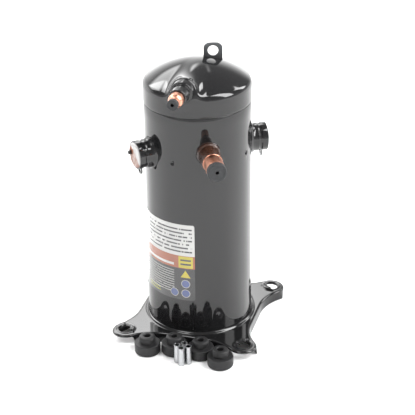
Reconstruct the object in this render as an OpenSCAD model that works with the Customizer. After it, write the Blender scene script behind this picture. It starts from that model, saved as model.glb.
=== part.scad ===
// Hermetic scroll compressor standing on its foot plate, with its loose mounting kit in front.
// Origin: centre of the four foot holes, in the plane of the feet's underside. +Z is up.
// Azimuths are measured from -Y (the discharge side) towards +X.

/* [Shell and caps] */
// Outside diameter of the centre shell
shell_od = 165.1; // [155:0.1:200]
// Sheet thickness of the shell and both caps
shell_wall = 3.2; // [2.5:0.1:4]
// Height of the top seam above the feet
seam_z = 371; // [345:1:450]
// How far the top cap stands out past the shell, per side
cap_lip = 0.85; // [0:0.05:1.5]
// Straight wall of the top cap above the seam
cap_wall_h = 23.9; // [18:0.1:40]
// Knuckle radius of the top cap
cap_knuckle = 12.7; // [8:0.1:16]
// Crown radius of the top cap
cap_crown = 131.5; // [110:0.5:200]
// Knuckle radius of the bottom cap
sump_knuckle = 10; // [6:0.5:14]
// Crown radius of the bottom cap
sump_crown = 260; // [250:1:600]
// Height of the bottom cap's knuckle centre above the feet
sump_knuckle_z = 10; // [9:0.5:20]

/* [Foot plate] */
// Spacing of the foot holes, both ways
foot_spacing = 190.5; // [180:0.5:240]
// Plate thickness
plate_t = 3; // [2:0.5:5]
// How far the plate's straight sides stand out past the shell
plate_margin = 10.9; // [8:0.1:20]
// Radius of a foot's rounded end
foot_r = 22; // [18:0.5:26]
// Hole for a mounting grommet
foot_hole_d = 22; // [18:0.5:28]
// Depth of the turned-down skirts below the feet
skirt_h = 14; // [12:0.5:20]
// Half length of the straight stretch of each side
side_straight = 30; // [15:1:40]
// Height of the weld collar round the shell's foot
collar_h = 3.4; // [2:0.2:5]

/* [Ports] */
// Azimuth of the suction port
suction_az = 26.5; // [15:0.5:50]
// Height of the suction port
suction_z = 313.4; // [300:0.1:330]
// Outside diameter of the suction stub
suction_od = 28.6; // [19:0.1:30]
// Reach of the suction stub past the shell
suction_reach = 60; // [40:1:80]
// Azimuth of the discharge port
discharge_az = 0.8; // [-5:0.1:5]
// Height of the discharge port above the seam
discharge_rise = 42.3; // [38:0.1:46]
// Outside diameter of the discharge stub
discharge_od = 19.5; // [15:0.1:22]
// Reach of the discharge stub past the top cap
discharge_reach = 48; // [30:1:60]
// Wall of both stubs
stub_wall = 1.2; // [0.8:0.1:1.6]

/* [Terminal fences] */
// Azimuth of the power terminal fence
power_az = -48; // [-52:0.5:-42]
// Azimuth of the sensor terminal fence
sensor_az = 117; // [110:0.5:125]
// Height of both fences
fence_z = 297; // [293:0.5:301]
// Outside diameter of a fence
fence_od = 44; // [42:0.5:52]
// Reach of the power fence past the shell
power_reach = 23.5; // [20:0.5:30]
// Reach of the sensor fence past the shell
sensor_reach = 24.5; // [20:0.5:30]

/* [Scroll set] */
// Base circle radius of the wraps
wrap_rb = 2.4; // [2.2:0.02:2.6]
// Wall thickness of the wraps
wrap_t = 3.2; // [2.8:0.1:3.6]
// Height of the wraps
wrap_h = 26; // [20:0.5:28]
// Gap left between the wraps' flanks at the line of contact
flank_gap = 0.25; // [0.2:0.05:0.4]
// Axial gap at the wrap tips and thrust faces
axial_gap = 0.3; // [0.2:0.05:0.5]
// Radius of the orbiting scroll's plate
orbit_plate_r = 57; // [55:0.5:58]
// Axial float of the fixed scroll
scroll_float = 0.8; // [0.4:0.1:1]

/* [Motor and shaft] */
// Outside radius of the rotor
rotor_r = 37; // [33:0.5:38]
// Height of the lamination stack
stack_h = 115; // [90:1:118]
// Air gap between rotor and stator
air_gap = 0.6; // [0.4:0.1:1]
// Radius of the main journal
main_journal_r = 16.5; // [14:0.5:17]
// Radius of the lower journal
lower_journal_r = 11; // [10:0.5:12]
// Radius of the shaft through the rotor
shaft_r = 14; // [13:0.5:16]
// Radial clearance of the running fits
run_fit = 0.05; // [0.02:0.01:0.1]
// Number of stator slots
slots = 24; // [18:6:36]

/* [Mounting kit] */
// Largest diameter of a grommet
grommet_od = 40.4; // [34:0.2:41]
// Height of a grommet
grommet_h = 29; // [24:0.5:34]
// Outside diameter of a steel sleeve
sleeve_od = 10; // [9:0.1:10.4]
// Bore of a steel sleeve
sleeve_bore = 8.4; // [7:0.1:8.8]
// Length of a steel sleeve
sleeve_h = 31; // [26:0.5:36]

/* [Hidden] */
$fn = 64;

seat = 0.05;                          // gap of a welded or pressed seat, so faces stay apart
clear = 0.3;                          // gap between pieces that only pass each other
shell_r = shell_od / 2;
shell_ri = shell_r - shell_wall;
fit_r = shell_ri - seat;              // what is fixed in the shell reaches this radius
cap_r = shell_r + cap_lip;
cap_ri = cap_r - shell_wall;
floor_z = -skirt_h;
shell_foot_z = plate_t;               // the shell's lower rim stands on the plate
seam_flange_t = 1.6;                  // muffler plate's rim, clamped in the seam
shell_top_z = seam_z - seam_flange_t;

half_pitch = foot_spacing / 2;
plate_half = shell_r + plate_margin;
plate_hole_r = shell_ri + 0.25;
// The concave fillet touches the straight side and the foot's round end.
side_gap = half_pitch - plate_half;
side_run = half_pitch - side_straight;
fillet_r = (side_run * side_run + side_gap * side_gap - foot_r * foot_r) / (2 * (foot_r + side_gap));

orbit_r = PI * wrap_rb - wrap_t - flank_gap;

// Levels of the scroll set, stacked down from the seam
seal_gap = 3.6;
fixed_top_z = seam_z - 3;
fixed_ring_h = 8.4;
fixed_plate_t = 6;
wrap_top_z = fixed_top_z - fixed_ring_h - fixed_plate_t;
orbit_plate_t = 9;
orbit_face_z = wrap_top_z - axial_gap - wrap_h;
orbit_back_z = orbit_face_z - orbit_plate_t;
thrust_z = orbit_back_z - axial_gap;
hub_h = 15;
pin_z = thrust_z - hub_h - 3;         // top of the main journal
main_journal_h = 40;

// Levels of the motor and the lower bearing, stacked down from the main journal
upper_turns_top = pin_z - main_journal_h - 11;
turns_h = 24;
stack_top_z = upper_turns_top - turns_h;
stack_z = stack_top_z - stack_h;
rotor_inset = 2.5;
end_ring_h = 6;
turns_r = 51;
turns_half_w = 11;
lower_bearing_z = 53;
lower_bearing_h = 25;

// Direction from the axis at an azimuth
function az_dir(az) = [sin(az), -cos(az)];

// Puts children at a height, looking outwards at an azimuth: local +Z out, +X down.
module radial(az, z, r) {
    translate([0, 0, z])
        rotate([0, 0, az - 90])
            translate([r, 0, 0])
                rotate([0, 90, 0])
                    children();
}

module tube(ro, ri, h) {
    difference() {
        cylinder(r = ro, h = h);
        translate([0, 0, -1])
            cylinder(r = ri, h = h + 2);
    }
}

// Disc with both rims chamfered
module puck(r, h, c) {
    rotate_extrude()
        polygon([[0, 0], [r - c, 0], [r, c], [r, h - c], [r - c, h], [0, h]]);
}

// Wedge of a ring from azimuth a0 to a1, less than 180 degrees
module wedge(ri, ro, a0, a1, h) {
    far = ro / cos((a1 - a0) / 2) + 1;
    intersection() {
        tube(ro, ri, h);
        linear_extrude(h)
            polygon([[0, 0], far * az_dir(a0), far * az_dir((a0 + a1) / 2), far * az_dir(a1)]);
    }
}

// Half profile of a dished end: wall, knuckle and crown share their tangent points.
function crown_drop(r, k, c) = sqrt((c - k) * (c - k) - (r - k) * (r - k));
function crown_turn(r, k, c) = acos((r - k) / (c - k));

module dish_profile(r, k, c, knuckle_z, foot_z) {
    turn = crown_turn(r, k, c);
    tip = [r - k + k * cos(turn), knuckle_z + k * sin(turn)];
    translate([r - k, knuckle_z])
        circle(r = k);
    polygon([[0, foot_z], [r, foot_z], [r, knuckle_z], [r - k, knuckle_z], tip, [0, tip[1]]]);
    intersection() {
        translate([0, knuckle_z - crown_drop(r, k, c)])
            circle(r = c);
        translate([0, tip[1]])
            square([tip[0], c]);
    }
}

module dish(r, k, c, knuckle_z, foot_z) {
    rotate_extrude($fn = 128)
        intersection() {
            dish_profile(r, k, c, knuckle_z, foot_z);
            translate([0, foot_z])
                square([2 * r, 4 * r]);
        }
}

// ---- Foot plate -------------------------------------------------------------------

module plate_outline(inset) {
    edge = plate_half - inset;
    reach = fillet_r + inset;
    tip_r = foot_r - inset;
    touch = [side_gap - fillet_r, side_run] * (tip_r / (fillet_r + foot_r));
    difference() {
        union() {
            square(2 * edge, center = true);
            for (k = [0:3])
                rotate(90 * k) {
                    translate([half_pitch, half_pitch])
                        circle(r = tip_r);
                    polygon([[0, 0], [edge, side_straight],
                        [half_pitch - touch[0], half_pitch - touch[1]],
                        [half_pitch, half_pitch],
                        [half_pitch - touch[1], half_pitch - touch[0]],
                        [side_straight, edge]]);
                }
        }
        for (k = [0:3])
            for (s = [-1, 1])
                rotate(90 * k)
                    translate([plate_half + fillet_r, s * side_straight])
                        circle(r = reach, $fn = 128);
    }
}

module at_feet() {
    for (k = [0:3])
        rotate(90 * k)
            translate([half_pitch, half_pitch, 0])
                children();
}

// How far round foot k a skirt runs, in foot radii: further from the X sides than from the Y sides.
function skirt_end(k, s) = (k % 2 == 0) == (s < 0) ? 0.45 : -0.2;

module base_plate() {
    rim_r = foot_hole_d / 2 + 3.4;
    color("#101012")
        difference() {
            union() {
                linear_extrude(plate_t)
                    plate_outline(0);
                translate([0, 0, floor_z])
                    linear_extrude(skirt_h)
                        difference() {
                            plate_outline(0);
                            plate_outline(plate_t);
                            for (k = [0:3], s = [-1, 1])
                                rotate(90 * k)
                                    translate([half_pitch, half_pitch])
                                        rotate(45)
                                            translate([foot_r * skirt_end(k, s), (s - 1) * foot_r])
                                                square([4 * foot_r, 2 * foot_r]);
                        }
                translate([0, 0, plate_t])
                    rotate_extrude($fn = 128)
                        polygon([[shell_r + seat, 0], [shell_r + 5, 0], [shell_r + 3.6, 0.6 * collar_h],
                            [shell_r + 1.6, collar_h], [shell_r + seat, collar_h]]);
                at_feet()
                    translate([0, 0, plate_t])
                        cylinder(r1 = rim_r, r2 = rim_r - 1.4, h = 1.2);
            }
            translate([0, 0, -1])
                cylinder(r = plate_hole_r, h = plate_t + 2, $fn = 128);
            at_feet()
                translate([0, 0, floor_z - 1])
                    cylinder(d = foot_hole_d, h = skirt_h + plate_t + 5);
        }
}

// ---- Shell and caps -----------------------------------------------------------------

suction_hole_r = suction_od / 2 + 2.4;

module center_shell() {
    color("#141416")
        difference() {
            translate([0, 0, shell_foot_z])
                difference() {
                    cylinder(r = shell_r, h = shell_top_z - shell_foot_z, $fn = 128);
                    translate([0, 0, -1])
                        cylinder(r = shell_ri, h = shell_top_z, $fn = 128);
                }
            radial(suction_az, suction_z, shell_ri - 10)
                cylinder(r = suction_hole_r, h = 30);
            for (az = [power_az, sensor_az])
                radial(az, fence_z, shell_ri - 10)
                    cylinder(r = terminal_r + seat, h = 30);
            for (k = [0:3])
                radial(post_az + 90 * k, stake_z, shell_r - 1.2)
                    cylinder(r = 3.2, h = 5);
        }
}

// Where the main bearing housing's posts are staked to the shell
post_az = -12;
stake_z = thrust_z - 22.5;

module bottom_cap() {
    color("#1a1a1c")
        difference() {
            mirror([0, 0, 1])
                dish(fit_r, sump_knuckle, sump_crown, -sump_knuckle_z, -sump_knuckle_z - 16);
            mirror([0, 0, 1])
                dish(fit_r - shell_wall, sump_knuckle - shell_wall, sump_crown - shell_wall,
                    -sump_knuckle_z, -sump_knuckle_z - 17);
        }
}

cap_knuckle_z = seam_z + cap_wall_h;
cap_apex_z = cap_knuckle_z - crown_drop(cap_r, cap_knuckle, cap_crown) + cap_crown;
discharge_z = seam_z + discharge_rise;
pad_r = 19;
pad_face_r = cap_r - 4.4;
fitting_front_r = cap_r + 7.6;
fitting_ring_r = 17;

module top_cap() {
    color("#101012")
        difference() {
            union() {
                dish(cap_r, cap_knuckle, cap_crown, cap_knuckle_z, seam_z);
                radial(discharge_az, discharge_z, pad_face_r - 40)
                    cylinder(r = pad_r, h = 40);
            }
            dish(cap_ri, cap_knuckle - shell_wall, cap_crown - shell_wall, cap_knuckle_z, seam_z - 1);
            radial(discharge_az, discharge_z, pad_face_r - 20)
                cylinder(r = discharge_r + seat, h = 36);
        }
}

module muffler_plate() {
    t = shell_wall;
    rise = seal_gap + 3;
    color("#8a8d90")
        translate([0, 0, shell_top_z])
            rotate_extrude($fn = 128)
                polygon([[24, rise - seam_flange_t], [58, rise - seam_flange_t], [72, 0],
                    [shell_r - 0.5, 0], [shell_r - 0.5, seam_flange_t], [cap_ri - seat, seam_flange_t],
                    [cap_ri - seat, t], [73.5, t], [59.5, rise - seam_flange_t + t],
                    [24, rise - seam_flange_t + t]]);
}

eye_az = 148;
eye_r = 33;
eye_w = 29;
eye_t = 4;
eye_hole_r = 8;
eye_hole_z = cap_apex_z + 7;

module lifting_eye() {
    top = 12.6;
    foot = 20;
    place = eye_r * az_dir(eye_az);
    color("#3a3b3d")
        difference() {
            translate([place[0], place[1], eye_hole_z])
                rotate([90, 0, 16])
                    translate([0, 0, -eye_t / 2])
                        linear_extrude(eye_t)
                            difference() {
                                polygon([[-eye_w / 2, -foot], [eye_w / 2, -foot], [eye_w / 2, 5],
                                    [eye_w / 2 - 1.5, 8.5], [8, top - 0.4], [0, top], [-8, top - 0.4],
                                    [-eye_w / 2 + 1.5, 8.5], [-eye_w / 2, 5]]);
                                circle(r = eye_hole_r);
                            }
            dish(cap_r + seat, cap_knuckle + seat, cap_crown + seat, cap_knuckle_z, seam_z);
        }
}

label_z = 62;
label_h = 132;
label_az = [-93, 11];
label_t = 0.25;

module rating_label() {
    color("#e4e2da")
        translate([0, 0, label_z])
            wedge(shell_r + 0.02, shell_r + label_t, label_az[0], label_az[1], label_h);
}

// ---- Ports ------------------------------------------------------------------------

module rubber_plug(head_r, head_h, stem_r, stem_h) {
    c = 1.4;
    back = min(c, (head_r - stem_r) / 2);
    difference() {
        rotate_extrude()
            polygon([[0, -stem_h], [stem_r - 1, -stem_h], [stem_r, 1 - stem_h], [stem_r, 0.1],
                [head_r - back, 0.1], [head_r, 0.1 + back], [head_r, head_h - c],
                [head_r - c, head_h], [0, head_h]]);
        translate([0, 0, head_h - 12])
            cylinder(r = 2.6, h = 20);
    }
}

suction_r = suction_od / 2;
suction_end_r = shell_r + suction_reach;
suction_ring_r = suction_hole_r + 1.5;
suction_neck_r = suction_r + 1.7;
suction_neck_end_r = suction_end_r - 26;
discharge_r = discharge_od / 2;
discharge_end_r = cap_r + discharge_reach;
discharge_bell_r = discharge_r + 1.25;
discharge_nose_r = discharge_r - 1.25;
discharge_neck_r = discharge_r + 3.75;
discharge_neck_end_r = discharge_end_r - 19.6;

module suction_fitting() {
    color("#17120f")
        difference() {
            radial(suction_az, suction_z, 0)
                rotate_extrude()
                    polygon([[suction_r + seat, shell_ri - 1], [suction_hole_r - seat, shell_ri - 1],
                        [suction_hole_r - seat, shell_r - 3.5], [suction_ring_r, shell_r - 3.5],
                        [suction_ring_r, shell_r + 4], [suction_neck_r + 0.6, shell_r + 7],
                        [suction_neck_r, shell_r + 9], [suction_neck_r, suction_neck_end_r - 1],
                        [suction_neck_r - 1, suction_neck_end_r], [suction_r + seat, suction_neck_end_r]]);
            difference() {
                cylinder(r = shell_r + seat, h = seam_z, $fn = 128);
                radial(suction_az, suction_z, shell_ri - 10)
                    cylinder(r = suction_hole_r - seat, h = 30);
            }
        }
}

module suction_stub() {
    color("#b5673f")
        radial(suction_az, suction_z, 0)
            translate([0, 0, shell_ri - 4])
                tube(suction_r, suction_r - stub_wall, suction_end_r - shell_ri + 4);
}

module suction_plug() {
    color("#2b2c2e")
        radial(suction_az, suction_z, suction_end_r)
            rubber_plug(suction_r + 0.1, 9, suction_r - stub_wall - run_fit, 14);
}

module discharge_fitting() {
    color("#101012")
        difference() {
            radial(discharge_az, discharge_z, 0)
                rotate_extrude()
                    polygon([[discharge_r + seat, pad_face_r + seat], [fitting_ring_r, pad_face_r + seat],
                        [fitting_ring_r, fitting_front_r - 1.5], [fitting_ring_r - 1.5, fitting_front_r],
                        [discharge_neck_r + 0.8, fitting_front_r], [discharge_neck_r, fitting_front_r + 1],
                        [discharge_neck_r, discharge_neck_end_r - 1],
                        [discharge_neck_r - 1, discharge_neck_end_r],
                        [discharge_r + seat, discharge_neck_end_r]]);
            dish(cap_r + seat, cap_knuckle + seat, cap_crown + seat, cap_knuckle_z, seam_z);
        }
}

// Stub belled out in front of its fitting and necked down at the mouth
module discharge_stub() {
    w = stub_wall;
    bell = discharge_neck_end_r + 0.2;
    nose = discharge_end_r - 5.4;
    color("#b5673f")
        radial(discharge_az, discharge_z, 0)
            rotate_extrude()
                polygon([[discharge_r, pad_face_r - 14], [discharge_r, bell], [discharge_bell_r, bell + 1.2],
                    [discharge_bell_r, nose - 6], [discharge_bell_r - 0.7, nose - 3],
                    [discharge_nose_r, nose], [discharge_nose_r, discharge_end_r],
                    [discharge_nose_r - w, discharge_end_r], [discharge_nose_r - w, nose - 0.5],
                    [discharge_bell_r - 0.7 - w, nose - 3.5], [discharge_bell_r - w, nose - 6.5],
                    [discharge_bell_r - w, bell + 1.7], [discharge_r - w, bell + 0.5],
                    [discharge_r - w, pad_face_r - 14]]);
}

module discharge_plug() {
    color("#2b2c2e")
        radial(discharge_az, discharge_z, discharge_end_r)
            rubber_plug(discharge_nose_r - 0.2, 7, discharge_nose_r - stub_wall - run_fit, 12);
}

// ---- Terminals ----------------------------------------------------------------------

fence_r = fence_od / 2;
fence_wall = 2.2;
fence_ri = fence_r - fence_wall;
terminal_r = fence_ri - 1.4;
lug_t = 2;

// Welded ring round a terminal, with a ground lug below
module fence(az, reach) {
    front = shell_r + reach;
    difference() {
        radial(az, fence_z, 0)
            difference() {
                union() {
                    translate([0, 0, shell_r - 8])
                        cylinder(r = fence_r, h = reach + 8);
                    translate([0, 0, shell_r - 8])
                        cylinder(r = fence_r + 2.4, h = 10.5);
                    translate([fence_r - 1, -7, front - 9])
                        cube([5, 14, lug_t]);
                    translate([fence_r + 4, 0, front - 9])
                        cylinder(r = 7, h = lug_t);
                }
                translate([0, 0, shell_r - 20])
                    cylinder(r = fence_ri, h = reach + 40);
                translate([fence_r + 4, 0, front - 12])
                    cylinder(r = 2.7, h = 20);
            }
        cylinder(r = shell_r + seat, h = seam_z, $fn = 128);
    }
}

disc_back_r = shell_ri - 2;
disc_front_r = shell_ri + 1.4;
pin_ring_r = 9;

module at_pins(az, count, r) {
    for (k = [0:count - 1])
        radial(az, fence_z, r)
            rotate(60 + 360 / count * k)
                translate([pin_ring_r, 0, 0])
                    children();
}

glass_r = 3.4;
pin_r = 1.6;

module terminal_disc(az, count) {
    difference() {
        radial(az, fence_z, disc_back_r)
            cylinder(r = terminal_r, h = disc_front_r - disc_back_r);
        at_pins(az, count, disc_back_r - 1)
            cylinder(r = glass_r, h = 10);
    }
}

module glass_beads(az, count) {
    at_pins(az, count, disc_back_r)
        tube(glass_r, pin_r, disc_front_r - disc_back_r);
}

module pins(az, count, reach) {
    at_pins(az, count, disc_back_r - 3)
        cylinder(r = pin_r, h = disc_front_r - disc_back_r + 3 + reach);
}

// Push-in cover with a stepped rim and a pull tab
module terminal_cover(az, reach) {
    r = fence_ri - 0.25;
    front = shell_r + reach;
    radial(az, fence_z, front) {
        rotate_extrude()
            polygon([[0, -3], [r - 2, -3], [r - 2, -9], [r, -9], [r, -0.5], [r - 0.8, 0.6],
                [r - 4, 1.4], [0, 1.4]]);
        translate([-3, r - 8, 1])
            cube([6, 3, 6]);
    }
}

module power_fence() { color("#101012") fence(power_az, power_reach); }
module sensor_fence() { color("#101012") fence(sensor_az, sensor_reach); }
module power_terminal() { color("#9a9da0") terminal_disc(power_az, 3); }
module sensor_terminal() { color("#9a9da0") terminal_disc(sensor_az, 2); }
module power_glass() { color("#3f6f63") glass_beads(power_az, 3); }
module sensor_glass() { color("#3f6f63") glass_beads(sensor_az, 2); }
module power_pins() { color("#c7a05a") pins(power_az, 3, 14); }
module sensor_pins() { color("#c7a05a") pins(sensor_az, 2, 9); }
module power_cover() { color("#d9cfc6") terminal_cover(power_az, power_reach); }
module sensor_cover() { color("#141416") terminal_cover(sensor_az, sensor_reach); }

block_front_r = disc_back_r - 0.8;
block_t = 6;
lead_r = 1.5;
lead_z = upper_turns_top + lead_r + 0.6;
lead_ring_r = block_front_r - block_t / 2;
lead_gap = 7;

module power_lead_block() {
    color("#6d2f2a")
        difference() {
            radial(power_az, fence_z, block_front_r - block_t)
                cylinder(r = 14.5, h = block_t);
            at_pins(power_az, 3, block_front_r - block_t - 1)
                cylinder(r = pin_r + 0.1, h = 12);
            for (k = [-1:1])
                radial(power_az, fence_z, lead_ring_r)
                    translate([10, k * lead_gap, 0])
                        rotate([0, 90, 0])
                            cylinder(r = lead_r + 0.05, h = 20);
        }
}

// Three leads hang from the block and turn in over the end turns.
module power_leads() {
    bend = 6;
    color("#c8442c")
        for (k = [-1:1])
            rotate([0, 0, power_az - 90])
                translate([lead_ring_r, k * lead_gap, 0]) {
                    translate([0, 0, lead_z + bend])
                        cylinder(r = lead_r, h = fence_z - 11 - lead_z - bend);
                    translate([-bend, 0, lead_z + bend])
                        rotate([90, 0, 0])
                            rotate([0, 0, -90])
                                rotate_extrude(angle = 90)
                                    translate([bend, 0])
                                        circle(r = lead_r);
                    translate([-bend, 0, lead_z])
                        rotate([0, -90, 0])
                            cylinder(r = lead_r, h = 8);
                }
}

// ---- Motor --------------------------------------------------------------------------

stator_ri = rotor_r + air_gap;
slot_in_r = stator_ri + 2.2;
slot_out_r = 60;
slot_w = 2 * PI * slot_in_r / slots * 0.52;

module slot_bars(grow) {
    for (k = [0:slots - 1])
        rotate(360 / slots * k)
            translate([slot_in_r - grow, -slot_w / 2 - grow])
                square([slot_out_r - slot_in_r + 2 * grow, slot_w + 2 * grow]);
}

module stator_core() {
    color("#6f7276")
        translate([0, 0, stack_z])
            linear_extrude(stack_h)
                difference() {
                    circle(r = fit_r, $fn = 128);
                    circle(r = stator_ri, $fn = 96);
                    slot_bars(0);
                    for (k = [0:5])
                        rotate(60 * k + 17)
                            translate([fit_r + 9, 0])
                                circle(r = 14);
                }
}

module end_turns() {
    translate([turns_r, 0])
        union() {
            translate([0, turns_h - turns_half_w])
                circle(r = turns_half_w);
            translate([-turns_half_w, 0])
                square([2 * turns_half_w, turns_h - turns_half_w]);
        }
}

module stator_winding() {
    color("#b36a35") {
        translate([0, 0, stack_z])
            linear_extrude(stack_h)
                slot_bars(-0.3);
        translate([0, 0, stack_top_z])
            rotate_extrude($fn = 96)
                end_turns();
        translate([0, 0, stack_z])
            mirror([0, 0, 1])
                rotate_extrude($fn = 96)
                    end_turns();
    }
}

module motor_protector() {
    color("#3c4248")
        translate([0, 0, upper_turns_top + clear])
            rotate(power_az - 162)
                translate([turns_r - 8, -15, 0])
                    cube([16, 30, 8]);
}

module rotor_core() {
    color("#74777b")
        translate([0, 0, stack_z + rotor_inset])
            tube(rotor_r, shaft_r + seat, stack_h - 2 * rotor_inset);
}

cage_ri = 24;

module rotor_cage() {
    color("#b9bcc0") {
        translate([0, 0, stack_top_z - rotor_inset + seat])
            tube(rotor_r - 1, cage_ri, end_ring_h);
        translate([0, 0, stack_z + rotor_inset - end_ring_h - seat])
            tube(rotor_r - 1, cage_ri, end_ring_h);
    }
}

// Half ring of metal that balances the orbiting mass; up and down ones oppose each other.
module half_ring(ri, ro, h, side) {
    intersection() {
        tube(ro, ri, h);
        translate([-ro, side > 0 ? 0 : -ro, 0])
            cube([2 * ro, ro, h]);
    }
}

upper_weight_z = stack_top_z - rotor_inset + end_ring_h + 2;

module upper_counterweight() {
    h = upper_turns_top + 3 - upper_weight_z;
    color("#85827c")
        translate([0, 0, upper_weight_z]) {
            half_ring(shaft_r + seat, 36, h, -1);
            tube(shaft_r + 6, shaft_r + seat, 8);
        }
}

module lower_counterweight() {
    h = 12;
    color("#85827c")
        translate([0, 0, stack_z + rotor_inset - end_ring_h - 2 * seat - h])
            half_ring(shaft_r + 4, 35, h, 1);
}

// ---- Shaft and bearings ---------------------------------------------------------------

bush_wall = 2.5;
shaft_foot_z = lower_bearing_z - 1;
pickup_r = 6;
pin_r_ecc = 8;
pin_h = hub_h - 1;
oil_r = 2.2;

module crankshaft() {
    color("#aeb1b5")
        difference() {
            union() {
                translate([0, 0, shaft_foot_z])
                    cylinder(r = lower_journal_r, h = lower_bearing_h + 6);
                translate([0, 0, lower_bearing_z + lower_bearing_h + 2])
                    cylinder(r = shaft_r, h = pin_z - main_journal_h - lower_bearing_z
                        - lower_bearing_h);
                translate([0, 0, pin_z - main_journal_h])
                    cylinder(r = main_journal_r, h = main_journal_h);
                translate([0, orbit_r, pin_z - 1])
                    intersection() {
                        cylinder(r = pin_r_ecc, h = pin_h + 1);
                        translate([-pin_flat, -10, -1])
                            cube([2 * pin_flat, 20, pin_h + 4]);
                    }
            }
            translate([0, 0, shaft_foot_z - 1])
                cylinder(r = pickup_r, h = 26);
            translate([0, 3, shaft_foot_z])
                cylinder(r = oil_r, h = pin_z + pin_h);
        }
}

// Flats on the eccentric pin let the bushing slide radially but not turn.
pin_flat = 6.2;

module oil_pickup() {
    color("#9fa3a7")
        translate([0, 0, shaft_foot_z - 36])
            difference() {
                cylinder(r = pickup_r - seat, h = 60);
                translate([0, 0, -1])
                    cylinder(r = pickup_r - 1, h = 62);
            }
}

module lower_bearing_housing() {
    hub_r = lower_journal_r + bush_wall + 8;
    color("#5b5d60")
        difference() {
            union() {
                translate([0, 0, lower_bearing_z - 7])
                    cylinder(r = hub_r, h = lower_bearing_h + 7);
                for (k = [0:2])
                    rotate(120 * k + 30)
                        translate([0, -11, lower_bearing_z + 2])
                            cube([fit_r - 3, 22, 9]);
                translate([0, 0, lower_bearing_z - 2])
                    tube(fit_r, fit_r - 7, 17);
            }
            translate([0, 0, lower_bearing_z - 3])
                cylinder(r = lower_journal_r + bush_wall + seat, h = lower_bearing_h + 10);
            translate([0, 0, lower_bearing_z - 12])
                cylinder(r = pickup_r + 1, h = 20);
        }
}

module lower_bearing() {
    color("#b08d57")
        translate([0, 0, lower_bearing_z])
            tube(lower_journal_r + bush_wall, lower_journal_r + run_fit, lower_bearing_h);
}

module thrust_washer() {
    color("#c9b27c")
        translate([0, 0, lower_bearing_z - 3])
            tube(lower_journal_r + bush_wall - 0.3, pickup_r + 1, 3 - 1 - seat);
}

module main_bearing() {
    color("#b08d57")
        translate([0, 0, pin_z - main_journal_h + 3])
            tube(main_journal_r + bush_wall, main_journal_r + run_fit, main_journal_h - 3);
}

oldham_w = 7;
oldham_in_r = 53;
oldham_out_r = oldham_in_r + oldham_w;
oldham_t = 6;
key_w = 8;
key_fit = 0.1;
oldham_z = thrust_z - 9.5;
recess_z = oldham_z - clear;
recess_in_r = oldham_in_r - orbit_r - 0.6;
recess_out_r = oldham_out_r + orbit_r + 0.6;
housing_r = recess_out_r + 3;
down_key_h = 6;
post_in_r = orbit_plate_r + orbit_r + 1.4;
post_top_z = orbit_face_z + 9;
post_w = 24;
bolt_ring_r = (post_in_r + fit_r) / 2 - 0.5;
bolt_r = 4;
guide_r = 5.6;
cavity_r = 26;

post_foot_z = stake_z - 5.5;

module main_bearing_housing() {
    hub_r = main_journal_r + bush_wall + 8;
    color("#5b5d60")
        difference() {
            union() {
                translate([0, 0, pin_z - main_journal_h + 2])
                    cylinder(r = hub_r, h = main_journal_h);
                translate([0, 0, pin_z - 6])
                    cylinder(r1 = hub_r + 4, r2 = housing_r, h = 4);
                translate([0, 0, pin_z - 2])
                    cylinder(r = housing_r, h = thrust_z - pin_z + 2, $fn = 96);
                for (k = [0:3])
                    rotate(post_az + 90 * k)
                        intersection() {
                            translate([0, 0, post_foot_z])
                                cylinder(r = fit_r, h = post_top_z - post_foot_z, $fn = 128);
                            translate([-post_w / 2, -fit_r - 1, post_foot_z])
                                cube([post_w, fit_r - post_in_r + 1, post_top_z - post_foot_z]);
                        }
            }
            translate([0, 0, pin_z - main_journal_h])
                cylinder(r = main_journal_r + bush_wall + seat, h = main_journal_h + 10);
            translate([0, 0, pin_z + 0.5])
                cylinder(r = cavity_r, h = 40);
            translate([0, 0, recess_z])
                tube(recess_out_r, recess_in_r, thrust_z - recess_z + 1);
            for (s = [-1, 1])
                translate([s * (oldham_in_r + oldham_w / 2), 0, recess_z - down_key_h / 2])
                    cube([oldham_w + 2 * orbit_r + 1.2, key_w + 2 * key_fit, down_key_h + 1],
                        center = true);
            for (k = [0:3])
                rotate(post_az + 90 * k)
                    translate([0, -bolt_ring_r, post_top_z - 22])
                        cylinder(r = bolt_r + seat, h = 30);
        }
}

// Bushing that lets the orbiting scroll back off radially
bushing_r = 12.4;
bushing_slide = 0.5;

module drive_bushing() {
    color("#8f9397")
        translate([0, orbit_r, pin_z + 1.5])
            difference() {
                cylinder(r = bushing_r, h = hub_h - 1.5);
                intersection() {
                    translate([-pin_flat - 0.1, -10 - bushing_slide, -1])
                        cube([2 * pin_flat + 0.2, 20 + 2 * bushing_slide, hub_h + 2]);
                    union() {
                        translate([0, bushing_slide + 0.2, -1])
                            cylinder(r = pin_r_ecc + 0.1, h = hub_h + 2);
                        translate([0, -0.1, -1])
                            cylinder(r = pin_r_ecc + 0.1, h = hub_h + 2);
                    }
                }
            }
}

drive_bush_wall = 2;

module drive_bearing() {
    color("#b08d57")
        translate([0, orbit_r, pin_z + 3.2])
            tube(bushing_r + run_fit + drive_bush_wall, bushing_r + run_fit, hub_h - 1.6);
}

// ---- Scroll set -----------------------------------------------------------------------

wrap_start = 150;
wrap_end = 940;
wrap_step = 8;
wrap_half = wrap_t / (2 * wrap_rb);

// Point of an involute of the base circle; side is +1 on the outer flank, -1 on the inner
function involute(a, side) = let(u = a * PI / 180 + side * wrap_half)
    wrap_rb * [cos(a) + u * sin(a), sin(a) - u * cos(a)];

module wrap() {
    outer = [for (a = [wrap_start:wrap_step:wrap_end]) involute(a, 1)];
    inner = [for (a = [wrap_end:-wrap_step:wrap_start]) involute(a, -1)];
    polygon(concat(outer, inner));
}

hub_or = 18.5;
slot_open_w = key_w + 4 * orbit_r + 1;
slot_in_edge = oldham_in_r - 3 - orbit_r - 0.5;
slot_depth = 7;

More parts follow.
